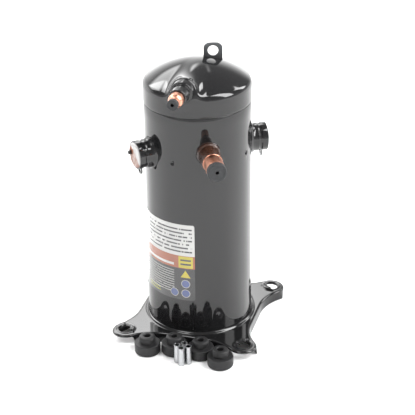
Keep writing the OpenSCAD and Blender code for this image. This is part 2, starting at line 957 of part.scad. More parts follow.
module orbiting_scroll() {
    color("#8b8f94")
        translate([0, orbit_r, 0])
            difference() {
                union() {
                    translate([0, 0, orbit_back_z])
                        cylinder(r = orbit_plate_r, h = orbit_plate_t, $fn = 96);
                    translate([0, 0, orbit_face_z - 0.5])
                        linear_extrude(wrap_h + 0.5)
                            wrap();
                    translate([0, 0, thrust_z - hub_h + 0.2])
                        cylinder(r = hub_or, h = hub_h + 1);
                }
                translate([0, 0, thrust_z - hub_h - 1])
                    cylinder(r = bushing_r + run_fit + drive_bush_wall + 0.02, h = hub_h + 1.2);
                for (s = [0, 180])
                    rotate(s)
                        translate([-slot_open_w / 2, slot_in_edge, orbit_back_z - 1])
                            cube([slot_open_w, 30, slot_depth + 1]);
            }
}

module oldham_coupling() {
    color("#a9acb0") {
        translate([0, 0, oldham_z])
            tube(oldham_out_r, oldham_in_r, oldham_t);
        for (s = [-1, 1]) {
            translate([-key_w / 2, s * (oldham_in_r + 1) - 4, oldham_z + oldham_t - 2])
                cube([key_w, 8, orbit_back_z + slot_depth - 1 - oldham_z - oldham_t + 2]);
            translate([s * (oldham_in_r + oldham_w / 2) - oldham_w / 2 + 0.4, -key_w / 2,
                oldham_z - down_key_h + 0.4])
                cube([oldham_w - 0.8, key_w, down_key_h + 1]);
        }
    }
}

fixed_in_r = 47;
fixed_out_r = 56;
ear_z = post_top_z + 1;
ear_h = 12.6;
port_r = 5;
groove_in_r = 24;
groove_out_r = 42;
valve_bore_r = 18;

module fixed_scroll() {
    color("#7f8388")
        difference() {
            union() {
                translate([0, 0, wrap_top_z])
                    cylinder(r = fixed_out_r, h = fixed_plate_t, $fn = 96);
                translate([0, 0, orbit_face_z + axial_gap])
                    tube(fixed_out_r, fixed_in_r, wrap_top_z - orbit_face_z - axial_gap + 1);
                translate([0, 0, orbit_face_z + axial_gap])
                    rotate(180)
                        linear_extrude(wrap_h + 0.5)
                            wrap();
                translate([0, 0, wrap_top_z + fixed_plate_t - 1]) {
                    tube(groove_in_r, valve_bore_r, fixed_ring_h + 1);
                    tube(groove_out_r + 6, groove_out_r, fixed_ring_h + 1);
                }
                for (k = [0:3])
                    rotate(post_az + 90 * k)
                        difference() {
                            union() {
                                translate([-11, -bolt_ring_r, ear_z])
                                    cube([22, bolt_ring_r - fixed_in_r - 2, ear_h]);
                                translate([0, -bolt_ring_r, ear_z])
                                    cylinder(r = 11 - 3.6, h = ear_h);
                            }
                            translate([0, -bolt_ring_r, ear_z - 1])
                                cylinder(r = guide_r + run_fit, h = ear_h + 2);
                        }
            }
            translate([0, 0, wrap_top_z - 1])
                cylinder(r = port_r, h = 20);
            rotate(suction_az - 90)
                translate([fixed_in_r - 6, -14, orbit_face_z + 6])
                    cube([20, 28, wrap_h - 10]);
        }
}

module scroll_sleeves() {
    color("#9fa3a7")
        for (k = [0:3])
            rotate(post_az + 90 * k)
                translate([0, -bolt_ring_r, post_top_z + seat])
                    tube(guide_r, bolt_r + seat, ear_h + 1 + scroll_float + 0.4);
}

module scroll_bolts() {
    head_z = post_top_z + ear_h + 1 + scroll_float + 0.4 + 2 * seat;
    color("#6a6d70")
        for (k = [0:3])
            rotate(post_az + 90 * k)
                translate([0, -bolt_ring_r, 0]) {
                    translate([0, 0, post_top_z - 20])
                        cylinder(r = bolt_r, h = head_z - post_top_z + 21);
                    translate([0, 0, head_z])
                        cylinder(r = 7, h = 1.5);
                    translate([0, 0, head_z + 1])
                        cylinder(r = 6.2, h = 5, $fn = 6);
                }
}

seal_lift = 1;

module floating_seal() {
    base_z = wrap_top_z + fixed_plate_t + 1.4;
    color("#4a4d52")
        translate([0, 0, base_z])
            rotate_extrude($fn = 96)
                polygon([[groove_in_r + 0.2, 0], [groove_out_r - 0.2, 0], [groove_out_r - 0.2, 5],
                    [groove_in_r + 8, 5], [groove_in_r + 7, 8.2], [groove_in_r + 3, 8.2],
                    [groove_in_r + 2, 5], [groove_in_r + 0.2, 5]]);
}

valve_t = 1.2;
valve_lift = 2.5;

module discharge_valve() {
    color("#c3c6c9")
        translate([0, 0, wrap_top_z + fixed_plate_t + 0.1])
            cylinder(r = 11.8, h = valve_t);
}

module valve_retainer() {
    inside_h = 0.1 + valve_t + valve_lift + 0.4;
    color("#94979b")
        translate([0, 0, wrap_top_z + fixed_plate_t + seat])
            difference() {
                cylinder(r = valve_bore_r - seat, h = inside_h + 2.2);
                translate([0, 0, -1])
                    cylinder(r = 12.3, h = inside_h + 1);
                for (k = [0:3])
                    rotate(90 * k)
                        translate([7, 0, -1])
                            cylinder(r = 2.6, h = 20);
            }
}

module suction_baffle() {
    color("#84888c")
        translate([0, 0, suction_z - 24])
            difference() {
                wedge(fit_r - 7.5, fit_r - 6, suction_az - 22, suction_az + 22, 46);
                translate([0, 0, 30])
                    rotate(suction_az - 90)
                        translate([60, -9, 0])
                            cube([20, 18, 20]);
            }
}

module sump_magnet() {
    apex_z = sump_knuckle_z + crown_drop(fit_r, sump_knuckle, sump_crown) - sump_crown + shell_wall;
    r = 12;
    sag = r * r / (2 * (sump_crown - shell_wall));
    color("#3d3e40")
        translate([0, 0, apex_z + sag + seat])
            cylinder(r = r, h = 4);
}

// ---- Mounting kit -----------------------------------------------------------------------

grommet_at = [[-50.8, -124.4], [-10, -114.4], [33, -115.4], [69.6, -133.8]];
sleeve_at = [[3, -142], [12, -134.2], [11.8, -149.2], [21, -141.6]];

module grommet(k) {
    r = grommet_od / 2;
    neck = foot_hole_d / 2 - 0.4;
    head = 14.5;
    slot = plate_t + 1.2;
    body_h = 0.6 * grommet_h;
    translate([grommet_at[k][0], grommet_at[k][1], floor_z])
        color("#222325")
            rotate_extrude()
                polygon([[4.9, 0], [r - 1, 0], [r, 1], [r, body_h - 2.4], [r - 2.4, body_h],
                    [neck, body_h], [neck, body_h + slot], [head, body_h + slot],
                    [head, grommet_h - 3], [head - 3, grommet_h - 0.6], [6.2, grommet_h],
                    [4.9, grommet_h - 1.2]]);
}

module sleeve(k) {
    translate([sleeve_at[k][0], sleeve_at[k][1], floor_z])
        color("#c9ccd0")
            tube(sleeve_od / 2, sleeve_bore / 2, sleeve_h);
}

module grommet_1() { grommet(0); }
module grommet_2() { grommet(1); }
module grommet_3() { grommet(2); }
module grommet_4() { grommet(3); }
module sleeve_1() { sleeve(0); }
module sleeve_2() { sleeve(1); }
module sleeve_3() { sleeve(2); }
module sleeve_4() { sleeve(3); }

base_plate();
bottom_cap();
center_shell();
top_cap();
muffler_plate();
lifting_eye();
rating_label();
suction_fitting();
suction_stub();
suction_plug();
discharge_fitting();
discharge_stub();
discharge_plug();
power_fence();
power_terminal();
power_glass();
power_pins();
power_cover();
power_lead_block();
power_leads();
sensor_fence();
sensor_terminal();
sensor_glass();
sensor_pins();
sensor_cover();
stator_core();
stator_winding();
motor_protector();
rotor_core();
rotor_cage();
crankshaft();
oil_pickup();
upper_counterweight();
lower_counterweight();
lower_bearing_housing();
lower_bearing();
thrust_washer();
main_bearing_housing();
main_bearing();
drive_bushing();
drive_bearing();
orbiting_scroll();
oldham_coupling();
fixed_scroll();
scroll_sleeves();
scroll_bolts();
floating_seal();
discharge_valve();
valve_retainer();
suction_baffle();
sump_magnet();
grommet_1();
grommet_2();
grommet_3();
grommet_4();
sleeve_1();
sleeve_2();
sleeve_3();
sleeve_4();
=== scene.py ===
import math

import bmesh
import bpy
import numpy as np
from mathutils import Matrix, Vector


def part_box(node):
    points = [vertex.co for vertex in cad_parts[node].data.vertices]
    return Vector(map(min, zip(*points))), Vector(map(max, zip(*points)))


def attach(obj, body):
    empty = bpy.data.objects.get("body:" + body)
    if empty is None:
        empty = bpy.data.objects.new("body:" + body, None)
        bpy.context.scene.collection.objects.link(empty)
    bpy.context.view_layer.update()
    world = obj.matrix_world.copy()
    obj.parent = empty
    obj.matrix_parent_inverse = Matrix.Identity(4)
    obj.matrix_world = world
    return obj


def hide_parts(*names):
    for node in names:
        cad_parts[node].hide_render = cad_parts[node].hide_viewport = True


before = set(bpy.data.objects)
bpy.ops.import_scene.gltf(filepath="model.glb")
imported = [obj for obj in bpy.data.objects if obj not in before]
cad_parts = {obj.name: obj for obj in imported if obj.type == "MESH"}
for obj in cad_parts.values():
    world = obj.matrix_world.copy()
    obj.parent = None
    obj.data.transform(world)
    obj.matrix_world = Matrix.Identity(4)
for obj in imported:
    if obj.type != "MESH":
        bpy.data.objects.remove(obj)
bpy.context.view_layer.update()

MM = 0.001
TURN = 2 * math.pi

# ---- Sizes, from the CAD pieces' boxes -------------------------------------------------


def middle(node):
    """Centre of a CAD piece's box."""
    low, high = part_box(node)
    return (low + high) / 2


def bearing(node):
    """Azimuth of a piece on a radial port, measured from -Y towards +X."""
    centre = middle(node)
    return math.atan2(centre.x, -centre.y)


def outward(azimuth):
    """Unit vector that points away from the compressor's axis along azimuth."""
    return Vector((math.sin(azimuth), -math.cos(azimuth), 0.0))


def axes(azimuth):
    """The outward and the sideways unit vectors of a radial port, as arrays."""
    return np.array(outward(azimuth)), np.array(outward(azimuth + math.pi / 2))


def front_of(node, azimuth, radius):
    """Distance from the compressor's axis to the front rim of a round piece that points along azimuth.
    A rim of that radius reaches front * |d| + radius * |side| along an axis of the box, which gives front."""
    low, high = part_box(node)
    way = outward(azimuth)
    if abs(way.x) > abs(way.y):
        reach = high.x if way.x > 0 else -low.x
        return (reach - radius * abs(way.y)) / abs(way.x)
    reach = high.y if way.y > 0 else -low.y
    return (reach - radius * abs(way.x)) / abs(way.y)


def half_height(node):
    """Half the height of a CAD piece's box, which is the radius of a round piece on a port."""
    low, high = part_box(node)
    return (high.z - low.z) / 2


shell_low, shell_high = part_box("center_shell")
SHELL_R = shell_high.x
PLATE_TOP = shell_low.z
CAP_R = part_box("top_cap")[1].x
SEAM_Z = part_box("top_cap")[0].z
CAP_WALL_H = 23.9 * MM
CAP_KNUCKLE = 12.7 * MM
CAP_CROWN = 131.5 * MM
SHEET_T = 3.2 * MM
KNUCKLE_Z = SEAM_Z + CAP_WALL_H
CROWN_Z = KNUCKLE_Z - math.sqrt((CAP_CROWN - CAP_KNUCKLE) ** 2 - (CAP_R - CAP_KNUCKLE) ** 2)
CROWN_TURN = math.acos((CAP_R - CAP_KNUCKLE) / (CAP_CROWN - CAP_KNUCKLE))

FOOT_R = 22 * MM
FOOT_HOLE_R = 11 * MM
HALF_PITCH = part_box("base_plate")[1].x - FOOT_R
FLOOR_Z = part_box("base_plate")[0].z
PLATE_HALF = SHELL_R + 10.9 * MM
SIDE_STRAIGHT = 30 * MM

SUCTION_AZ = bearing("suction_stub")
SUCTION_Z = middle("suction_stub").z
SUCTION_R = half_height("suction_stub")
SUCTION_END = front_of("suction_stub", SUCTION_AZ, SUCTION_R)
SUCTION_RING_R = half_height("suction_fitting")
SUCTION_NECK_R = SUCTION_R + 1.7 * MM
SUCTION_NECK_END = SUCTION_END - 26 * MM
DISCHARGE_AZ = bearing("discharge_stub")
DISCHARGE_Z = middle("discharge_stub").z
BELL_R = half_height("discharge_stub")
DISCHARGE_R = BELL_R - 1.25 * MM
NOSE_R = DISCHARGE_R - 1.25 * MM
DISCHARGE_END = front_of("discharge_stub", DISCHARGE_AZ, NOSE_R)
DISCHARGE_NECK_R = DISCHARGE_R + 3.75 * MM
DISCHARGE_NECK_END = DISCHARGE_END - 19.6 * MM
STUB_WALL = 1.2 * MM
PAD_R = 19 * MM
PAD_FACE = CAP_R - 4.4 * MM
FITTING_RING_R = half_height("discharge_fitting")
FITTING_FRONT = CAP_R + 7.6 * MM

POWER_AZ = bearing("power_terminal")
SENSOR_AZ = bearing("sensor_terminal")
FENCE_Z = middle("power_terminal").z
FLANGE_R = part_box("power_fence")[1].z - FENCE_Z
FENCE_R = FLANGE_R - 2.4 * MM
FENCE_WALL = 2.2 * MM
POWER_FRONT = front_of("power_fence", POWER_AZ, FENCE_R)
SENSOR_FRONT = front_of("sensor_fence", SENSOR_AZ, FENCE_R)

EYE_TURN = math.radians(16)
EYE_TOP_RISE = 12.6 * MM
EYE_HOLE_R = 8 * MM
EYE_T = 4 * MM
EYE_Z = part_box("lifting_eye")[1].z - EYE_TOP_RISE

# ---- Mesh helpers ----------------------------------------------------------------------


def lattice(rows, columns, wrap_rows, wrap_columns):
    """Corner numbers of the four-sided faces on a grid of points, row by row."""
    i = np.arange(rows if wrap_rows else rows - 1)[:, None]
    j = np.arange(columns if wrap_columns else columns - 1)[None, :]
    below, right = (i + 1) % rows, (j + 1) % columns
    corners = (i * columns + j, i * columns + right, below * columns + right, below * columns + j)
    return np.stack([np.broadcast_to(c, (i.size, j.size)) for c in corners], -1).reshape(-1, 4)


def patch(grid, wrap_rows, wrap_columns):
    """A grid of points and its faces."""
    return grid, lattice(grid.shape[0], grid.shape[1], wrap_rows, wrap_columns)


def mesh_piece(name, parts, body, finish, stands_for=(), sharp=32, thick=0.0):
    """One object from (points, faces) parts: doubles merged, faces turned outwards, and edges sharper than
    the angle kept."""
    points, faces, start = [], [], 0
    for grid, quads in parts:
        flat = np.asarray(grid, float).reshape(-1, 3)
        points.append(flat)
        faces.append(np.asarray(quads) + start)
        start += len(flat)
    mesh = bpy.data.meshes.new(name)
    mesh.from_pydata(np.concatenate(points).tolist(), [], np.concatenate(faces).tolist())
    work = bmesh.new()
    work.from_mesh(mesh)
    bmesh.ops.remove_doubles(work, verts=work.verts, dist=2e-6)
    bmesh.ops.dissolve_degenerate(work, edges=work.edges, dist=1e-7)
    bmesh.ops.recalc_face_normals(work, faces=work.faces)
    work.to_mesh(mesh)
    work.free()
    mesh.shade_smooth()
    mesh.set_sharp_from_angle(angle=math.radians(sharp))
    piece = bpy.data.objects.new(name, mesh)
    bpy.context.scene.collection.objects.link(piece)
    mesh.materials.append(finish)
    if thick:
        wall = piece.modifiers.new("wall", "SOLIDIFY")
        wall.thickness = thick
        wall.offset = -1
    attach(piece, body)
    if stands_for:
        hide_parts(*stands_for)
    return piece


def rounded(corners, radii, arc):
    """A closed outline with its corners rounded: an arc of each radius touches both sides, and a point beside
    each end of the arc keeps the flat stretch flat. Each arc gets that many points."""
    corners = np.asarray(corners, float)
    radii = np.broadcast_to(np.asarray(radii, float), (len(corners),))
    before = np.roll(corners, 1, 0) - corners
    after = np.roll(corners, -1, 0) - corners
    out = []
    for corner, a, b, radius in zip(corners, before, after, radii):
        la, lb = np.linalg.norm(a), np.linalg.norm(b)
        a, b = a / la, b / lb
        half = math.acos(max(-1.0, min(1.0, float(a @ b)))) / 2
        if radius <= 0 or half > 1.55:
            out.append(corner[None])
            continue
        run = min(radius / math.tan(half), 0.46 * la, 0.46 * lb)
        size = run * math.tan(half)
        centre = corner + (a + b) / np.linalg.norm(a + b) * (size / math.sin(half))
        start, end = corner + a * run - centre, corner + b * run - centre
        t0, t1 = math.atan2(start[1], start[0]), math.atan2(end[1], end[0])
        sweep = (t1 - t0 + math.pi) % TURN - math.pi
        t = t0 + sweep * np.linspace(0, 1, arc)
        ring = centre + size * np.stack([np.cos(t), np.sin(t)], -1)
        lead = min(0.25 * run, 0.1 * min(la, lb)) if run < 0.4 * min(la, lb) else 0
        if lead:
            ring = np.vstack([corner + a * (run + lead), ring, corner + b * (run + lead)])
        out.append(ring)
    return np.vstack(out)


def turned(profile, azimuth, height, steps):
    """A closed profile (radius, distance from the compressor's axis) turned about a radial port's centre
    line."""
    angle = np.linspace(0, TURN, steps, endpoint=False)[:, None]
    radius, along = profile[:, 0][None], profile[:, 1][None]
    way, side = axes(azimuth)
    ring = radius * np.cos(angle)
    points = along[..., None] * way + ring[..., None] * side
    points = np.broadcast_to(points, (steps, len(profile), 3)).copy()
    points[..., 2] += height + radius * np.sin(angle)
    return patch(points, True, True)


def lathed(profile, centre, steps):
    """A closed profile (radius, height) turned about an upright axis through centre."""
    angle = np.linspace(0, TURN, steps, endpoint=False)[:, None]
    radius, height = profile[:, 0][None], profile[:, 1][None]
    points = np.stack(np.broadcast_arrays(centre[0] + radius * np.cos(angle),
                                          centre[1] + radius * np.sin(angle), height), -1)
    return patch(points, True, True)


def laid_on_shell(points, azimuth, start, end):
    """The back of a ring sunk on to the shell: a point is drawn back by R - sqrt(R^2 - x^2), with x its
    offset sideways, and by less and less of it from start to end in front of the shell."""
    way, side = axes(azimuth)
    sink = SHELL_R - np.sqrt(SHELL_R ** 2 - (points @ side) ** 2)
    share = 1 - smooth_step(SHELL_R + start, SHELL_R + end, points @ way)
    return points - (sink * share)[..., None] * way


def smooth_step(low, high, value):
    """0 up to low, 1 from high on, and 3 t^2 - 2 t^3 between them."""
    t = np.clip((value - low) / (high - low), 0, 1)
    return t * t * (3 - 2 * t)


# ---- Finishes --------------------------------------------------------------------------


class Value:
    """A shader socket used in ordinary sums: each operator adds one Math node."""

    def __init__(self, finish, socket):
        self.finish, self.socket = finish, socket

    def math(self, operation, *others):
        return self.finish.node("ShaderNodeMath", {"operation": operation}, dict(enumerate((self,) + others)))

    def __add__(self, other):
        return self.math("ADD", other)

    def __sub__(self, other):
        return self.math("SUBTRACT", other)

    def __mul__(self, other):
        return self.math("MULTIPLY", other)

    def __truediv__(self, other):
        return self.math("DIVIDE", other)

    def __rsub__(self, other):
        return self.finish.node("ShaderNodeMath", {"operation": "SUBTRACT"}, {0: other, 1: self})

    def __abs__(self):
        return self.math("ABSOLUTE")

    def __lt__(self, other):
        return self.math("LESS_THAN", other)

    def __gt__(self, other):
        return self.math("GREATER_THAN", other)

    def __pow__(self, other):
        return self.math("POWER", other)

    __radd__ = __add__
    __rmul__ = __mul__


class Finish:
    """One node tree being made, for a material or the studio's light."""

    def __init__(self, name, world=False):
        self.owner = (bpy.data.worlds if world else bpy.data.materials).new(name)
        self.owner.use_nodes = True
        self.tree = self.owner.node_tree
        self.tree.nodes.clear()

    def node(self, kind, settings, sockets, out=0):
        """A node of that kind, its settings set first and then its sockets' numbers, colours or links."""
        made = self.tree.nodes.new(kind)
        for key, setting in settings.items():
            setattr(made, key, setting)
        for key, item in sockets.items():
            if isinstance(item, Value):
                self.tree.links.new(item.socket, made.inputs[key])
            else:
                made.inputs[key].default_value = item
        return Value(self, made.outputs[out]) if len(made.outputs) else made

    def place(self, kind="Object"):
        return self.node("ShaderNodeTexCoord", {}, {}, kind)

    def stretched(self, scale, vector=None):
        return self.node("ShaderNodeMapping", {}, {"Vector": vector or self.place(), "Scale": scale})

    def noise(self, scale, detail=2.0, rough=0.5, vector=None):
        return self.node("ShaderNodeTexNoise", {}, {
            "Vector": vector or self.place(), "Scale": scale, "Detail": detail, "Roughness": rough})

    def spots(self, scale, vector=None):
        return self.node("ShaderNodeTexVoronoi", {}, {"Vector": vector or self.place(), "Scale": scale})

    def split(self, vector=None):
        vector = vector or self.place()
        return [self.node("ShaderNodeSeparateXYZ", {}, {0: vector}, k) for k in range(3)]

    def between(self, value, low, high, start=0.0, end=1.0):
        """value from low to high becomes start to end, eased at both ends."""
        return self.node("ShaderNodeMapRange", {"interpolation_type": "SMOOTHSTEP"},
                         {"Value": value, 1: low, 2: high, 3: start, 4: end})

    def mixed(self, share, first, second):
        return self.node("ShaderNodeMix", {"data_type": "RGBA"}, {0: share, 6: first, 7: second}, 2)

    def bumps(self, height, depth, strength=1.0):
        return self.node("ShaderNodeBump", {}, {"Height": height, "Distance": depth, "Strength": strength})

    def surface(self, sockets):
        shader = self.node("ShaderNodeBsdfPrincipled", {}, sockets)
        self.node("ShaderNodeOutputMaterial", {}, {"Surface": shader})
        return self.owner


def rgb(r, g, b):
    """An opaque colour."""
    return (r, g, b, 1.0)


def black_enamel(name="black_enamel", peel=1.0, base=0.009):
    """Stoved black enamel: a faint orange peel, a slow waviness of the pressed sheet and dust specks."""
    f = Finish(name)
    peel_height = f.noise(420.0, 2.0, 0.45)
    sag = f.noise(38.0, 1.0, 0.4)
    cloud = f.noise(14.0, 4.0, 0.6)
    dust = f.between(f.noise(900.0, 2.0, 0.6), 0.70, 0.80)
    height = peel_height * (0.10 * peel) + sag * 0.9
    return f.surface({
        "Base Color": f.mixed(dust * 0.35, rgb(base, base, base * 1.05), rgb(0.10, 0.10, 0.095)),
        "Roughness": cloud * 0.05 + dust * 0.12 + 0.045,
        "IOR": 1.52,
        "Normal": f.bumps(height, 0.00006, 0.55)})


def heat_tinted_enamel():
    """Enamel browned by the torch where the suction tube is brazed in."""
    f = Finish("heat_tinted_enamel")
    x, y, z = f.split()
    way = outward(SUCTION_AZ)
    along = x * way.x + y * way.y
    lift = z - SUCTION_Z
    heat = f.between(along + f.noise(90.0, 3.0) * 0.008, SHELL_R + 0.001, SHELL_R + 0.010)
    upper = f.between(lift + f.noise(70.0, 3.0) * 0.012, -0.006, 0.018)
    blister = f.noise(700.0, 3.0, 0.6)
    tint = f.mixed(f.noise(160.0, 2.0), rgb(0.020, 0.008, 0.005), rgb(0.070, 0.028, 0.015))
    return f.surface({
        "Base Color": f.mixed(heat * upper * 0.85, rgb(0.010, 0.008, 0.008), tint),
        "Roughness": 0.08 + heat * 0.16 + blister * 0.06,
        "IOR": 1.52,
        "Normal": f.bumps(blister, 0.00012, 0.7)})


def bright_copper():
    """Drawn copper tube, flushed pink and brown by the braze, with fine lengthwise draw lines."""
    f = Finish("bright_copper")
    flush = f.noise(85.0, 3.0, 0.55)
    stain = f.between(f.noise(48.0, 3.0, 0.6), 0.48, 0.72)
    drawn = f.noise(1500.0, 1.0, 0.5, f.stretched((1.0, 0.05, 1.0)))
    colour = f.mixed(flush, rgb(0.80, 0.42, 0.30), rgb(0.50, 0.22, 0.14))
    return f.surface({
        "Base Color": f.mixed(stain * 0.7, colour, rgb(0.26, 0.09, 0.05)),
        "Metallic": 1.0 - stain * 0.2,
        "Roughness": 0.24 + flush * 0.12 + stain * 0.14,
        "Normal": f.bumps(drawn, 0.00004, 0.5)})


def plug_rubber():
    """Moulded shipping-plug rubber: even grey with a fine matt grain."""
    f = Finish("plug_rubber")
    grain = f.noise(1600.0, 2.0, 0.6)
    bloom = f.noise(60.0, 3.0, 0.5)
    return f.surface({
        "Base Color": f.mixed(bloom, rgb(0.016, 0.017, 0.018), rgb(0.028, 0.029, 0.031)),
        "Roughness": 0.52 + bloom * 0.16,
        "Specular IOR Level": 0.4,
        "Normal": f.bumps(grain, 0.00006, 0.6)})


def mount_rubber():
    """Black grommet rubber, satin from the mould, with release marks and dust."""
    f = Finish("mount_rubber")
    grain = f.noise(1200.0, 3.0, 0.6)
    cloud = f.noise(55.0, 4.0, 0.6)
    return f.surface({
        "Base Color": f.mixed(cloud, rgb(0.006, 0.006, 0.006), rgb(0.015, 0.015, 0.016)),
        "Roughness": 0.42 + cloud * 0.18,
        "Specular IOR Level": 0.35,
        "Normal": f.bumps(grain + cloud * 0.8, 0.00010, 0.6)})


def zinc_plate(name, tone, rough):
    """Zinc plated steel: bright, with lengthwise streaks and small spangles."""
    f = Finish(name)
    streak = f.noise(700.0, 2.0, 0.5, f.stretched((1.0, 1.0, 0.06)))
    cloud = f.noise(90.0, 3.0, 0.6)
    low = [0.72 * tone, 0.74 * tone, 0.77 * tone]
    high = [0.93 * tone, 0.94 * tone, 0.95 * tone]
    return f.surface({
        "Base Color": f.mixed(cloud, rgb(*low), rgb(*high)),
        "Metallic": 1.0,
        "Roughness": cloud * 0.16 + streak * 0.10 + rough,
        "Normal": f.bumps(streak, 0.00003, 0.5)})


def dark_steel():
    """Blackened steel of the lifting eye, its tone clouded lighter and darker at random."""
    f = Finish("dark_steel")
    cloud = f.noise(120.0, 4.0, 0.6)
    pits = f.noise(1400.0, 3.0, 0.6)
    return f.surface({
        "Base Color": f.mixed(cloud, rgb(0.060, 0.062, 0.066), rgb(0.16, 0.165, 0.17)),
        "Metallic": 0.85,
        "Roughness": 0.34 + cloud * 0.2,
        "Normal": f.bumps(pits, 0.00006, 0.6)})


def metal(name, low, high, rough, grain=1000.0, squeeze=(1.0, 1.0, 1.0), depth=0.00004, metallic=1.0):
    """A plain metal with clouded tone and a grain that can be stretched into machining lines."""
    f = Finish(name)
    lines = f.noise(grain, 2.0, 0.55, f.stretched(squeeze))
    cloud = f.noise(70.0, 4.0, 0.6)
    return f.surface({
        "Base Color": f.mixed(cloud * 0.7 + lines * 0.3, rgb(*low), rgb(*high)),
        "Metallic": metallic,
        "Roughness": cloud * 0.18 + lines * 0.12 + rough,
        "Normal": f.bumps(lines, depth, 0.6)})


def plastic(name, low, high, rough):
    """Moulded plastic: a tone that clouds from low to high under a fine skin."""
    f = Finish(name)
    skin = f.noise(900.0, 2.0, 0.5)
    cloud = f.noise(60.0, 3.0, 0.5)
    return f.surface({
        "Base Color": f.mixed(cloud, rgb(*low), rgb(*high)),
        "Roughness": cloud * 0.14 + rough,
        "Normal": f.bumps(skin, 0.00005, 0.5)})


def painted_rim():
    """Plain steel whose clamped rim, the only part seen from outside, is under the shell's enamel."""
    f = Finish("rim_painted_steel")
    x, y, _ = f.split()
    painted = f.between((x * x + y * y).math("SQRT"), SHELL_R - 3.0 * MM, SHELL_R - 2.4 * MM)
    cloud = f.noise(80.0, 4.0, 0.6)
    return f.surface({
        "Base Color": f.mixed(painted, f.mixed(cloud, rgb(0.36, 0.37, 0.39), rgb(0.58, 0.59, 0.60)),
                              rgb(0.006, 0.006, 0.006)),
        "Metallic": 1.0 - painted,
        "Roughness": 0.26 + cloud * 0.2,
        "Normal": f.bumps(f.noise(1000.0, 2.0), 0.00004, 0.5)})


def laminations():
    """A stack of thin punched steel sheets, seen as fine level lines."""
    f = Finish("laminations")
    z = f.split()[2]
    line = abs((z * 2000.0).math("FRACT") - 0.5) * 2.0
    cloud = f.noise(80.0, 4.0, 0.6)
    return f.surface({
        "Base Color": f.mixed(f.between(line, 0.55, 0.95), rgb(0.30, 0.31, 0.33), rgb(0.10, 0.10, 0.11)),
        "Metallic": 1.0,
        "Roughness": 0.34 + cloud * 0.2,
        "Normal": f.bumps(line, 0.00015, 0.6)})


def enamelled_wire():
    """Varnished copper windings: wires bundled side by side."""
    f = Finish("enamelled_wire")
    strands = f.noise(1500.0, 2.0, 0.5, f.stretched((0.25, 0.25, 1.0)))
    cloud = f.noise(60.0, 3.0, 0.6)
    return f.surface({
        "Base Color": f.mixed(strands, rgb(0.26, 0.075, 0.022), rgb(0.72, 0.27, 0.085)),
        "Metallic": 0.5,
        "Roughness": 0.24 + cloud * 0.2,
        "Coat Weight": 0.5 + cloud * 0.4,
        "Normal": f.bumps(strands, 0.00035, 0.8)})


def seal_glass():
    """Green sealing glass round the pins, with small bubbles under its skin."""
    f = Finish("seal_glass")
    bubbles = f.spots(900.0)
    cloud = f.noise(200.0, 2.0)
    return f.surface({
        "Base Color": f.mixed(cloud, rgb(0.035, 0.12, 0.10), rgb(0.07, 0.22, 0.18)),
        "Roughness": 0.06 + cloud * 0.08,
        "Normal": f.bumps(bubbles, 0.00003, 0.4)})


def cover_finish():
    """Pale cover of the power terminals, with a torn strip of coppery tape over its lower half."""
    f = Finish("pale_cover")
    x, y, z = f.split()
    side = outward(POWER_AZ + math.pi / 2)
    across = x * side.x + y * side.y
    lift = z - FENCE_Z
    ragged = f.noise(120.0, 3.0, 0.6) * 0.010
    bare = f.between(across * 0.6 + lift * 0.8 + ragged, 0.006, 0.008)
    rusty = f.between(lift * 0.7 - across * 0.7 + ragged, 0.009, 0.013)
    patch = f.noise(75.0, 3.0, 0.55)
    pink = f.mixed(f.between(patch, 0.42, 0.60), rgb(0.19, 0.085, 0.055), rgb(0.34, 0.25, 0.22))
    wrinkle = f.noise(190.0, 3.0, 0.55)
    return f.surface({
        "Base Color": f.mixed(bare, f.mixed(rusty, pink, rgb(0.21, 0.070, 0.028)), rgb(0.40, 0.395, 0.39)),
        "Roughness": 0.22 + wrinkle * 0.22,
        "Normal": f.bumps(wrinkle, 0.0008, 0.6)})


LABEL_LOW_Z, LABEL_HIGH_Z = (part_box("rating_label")[k].z for k in (0, 1))
LABEL_H = LABEL_HIGH_Z - LABEL_LOW_Z
LABEL_FROM, LABEL_TO = math.radians(-93), math.radians(11)
LABEL_W = (LABEL_TO - LABEL_FROM) * SHELL_R


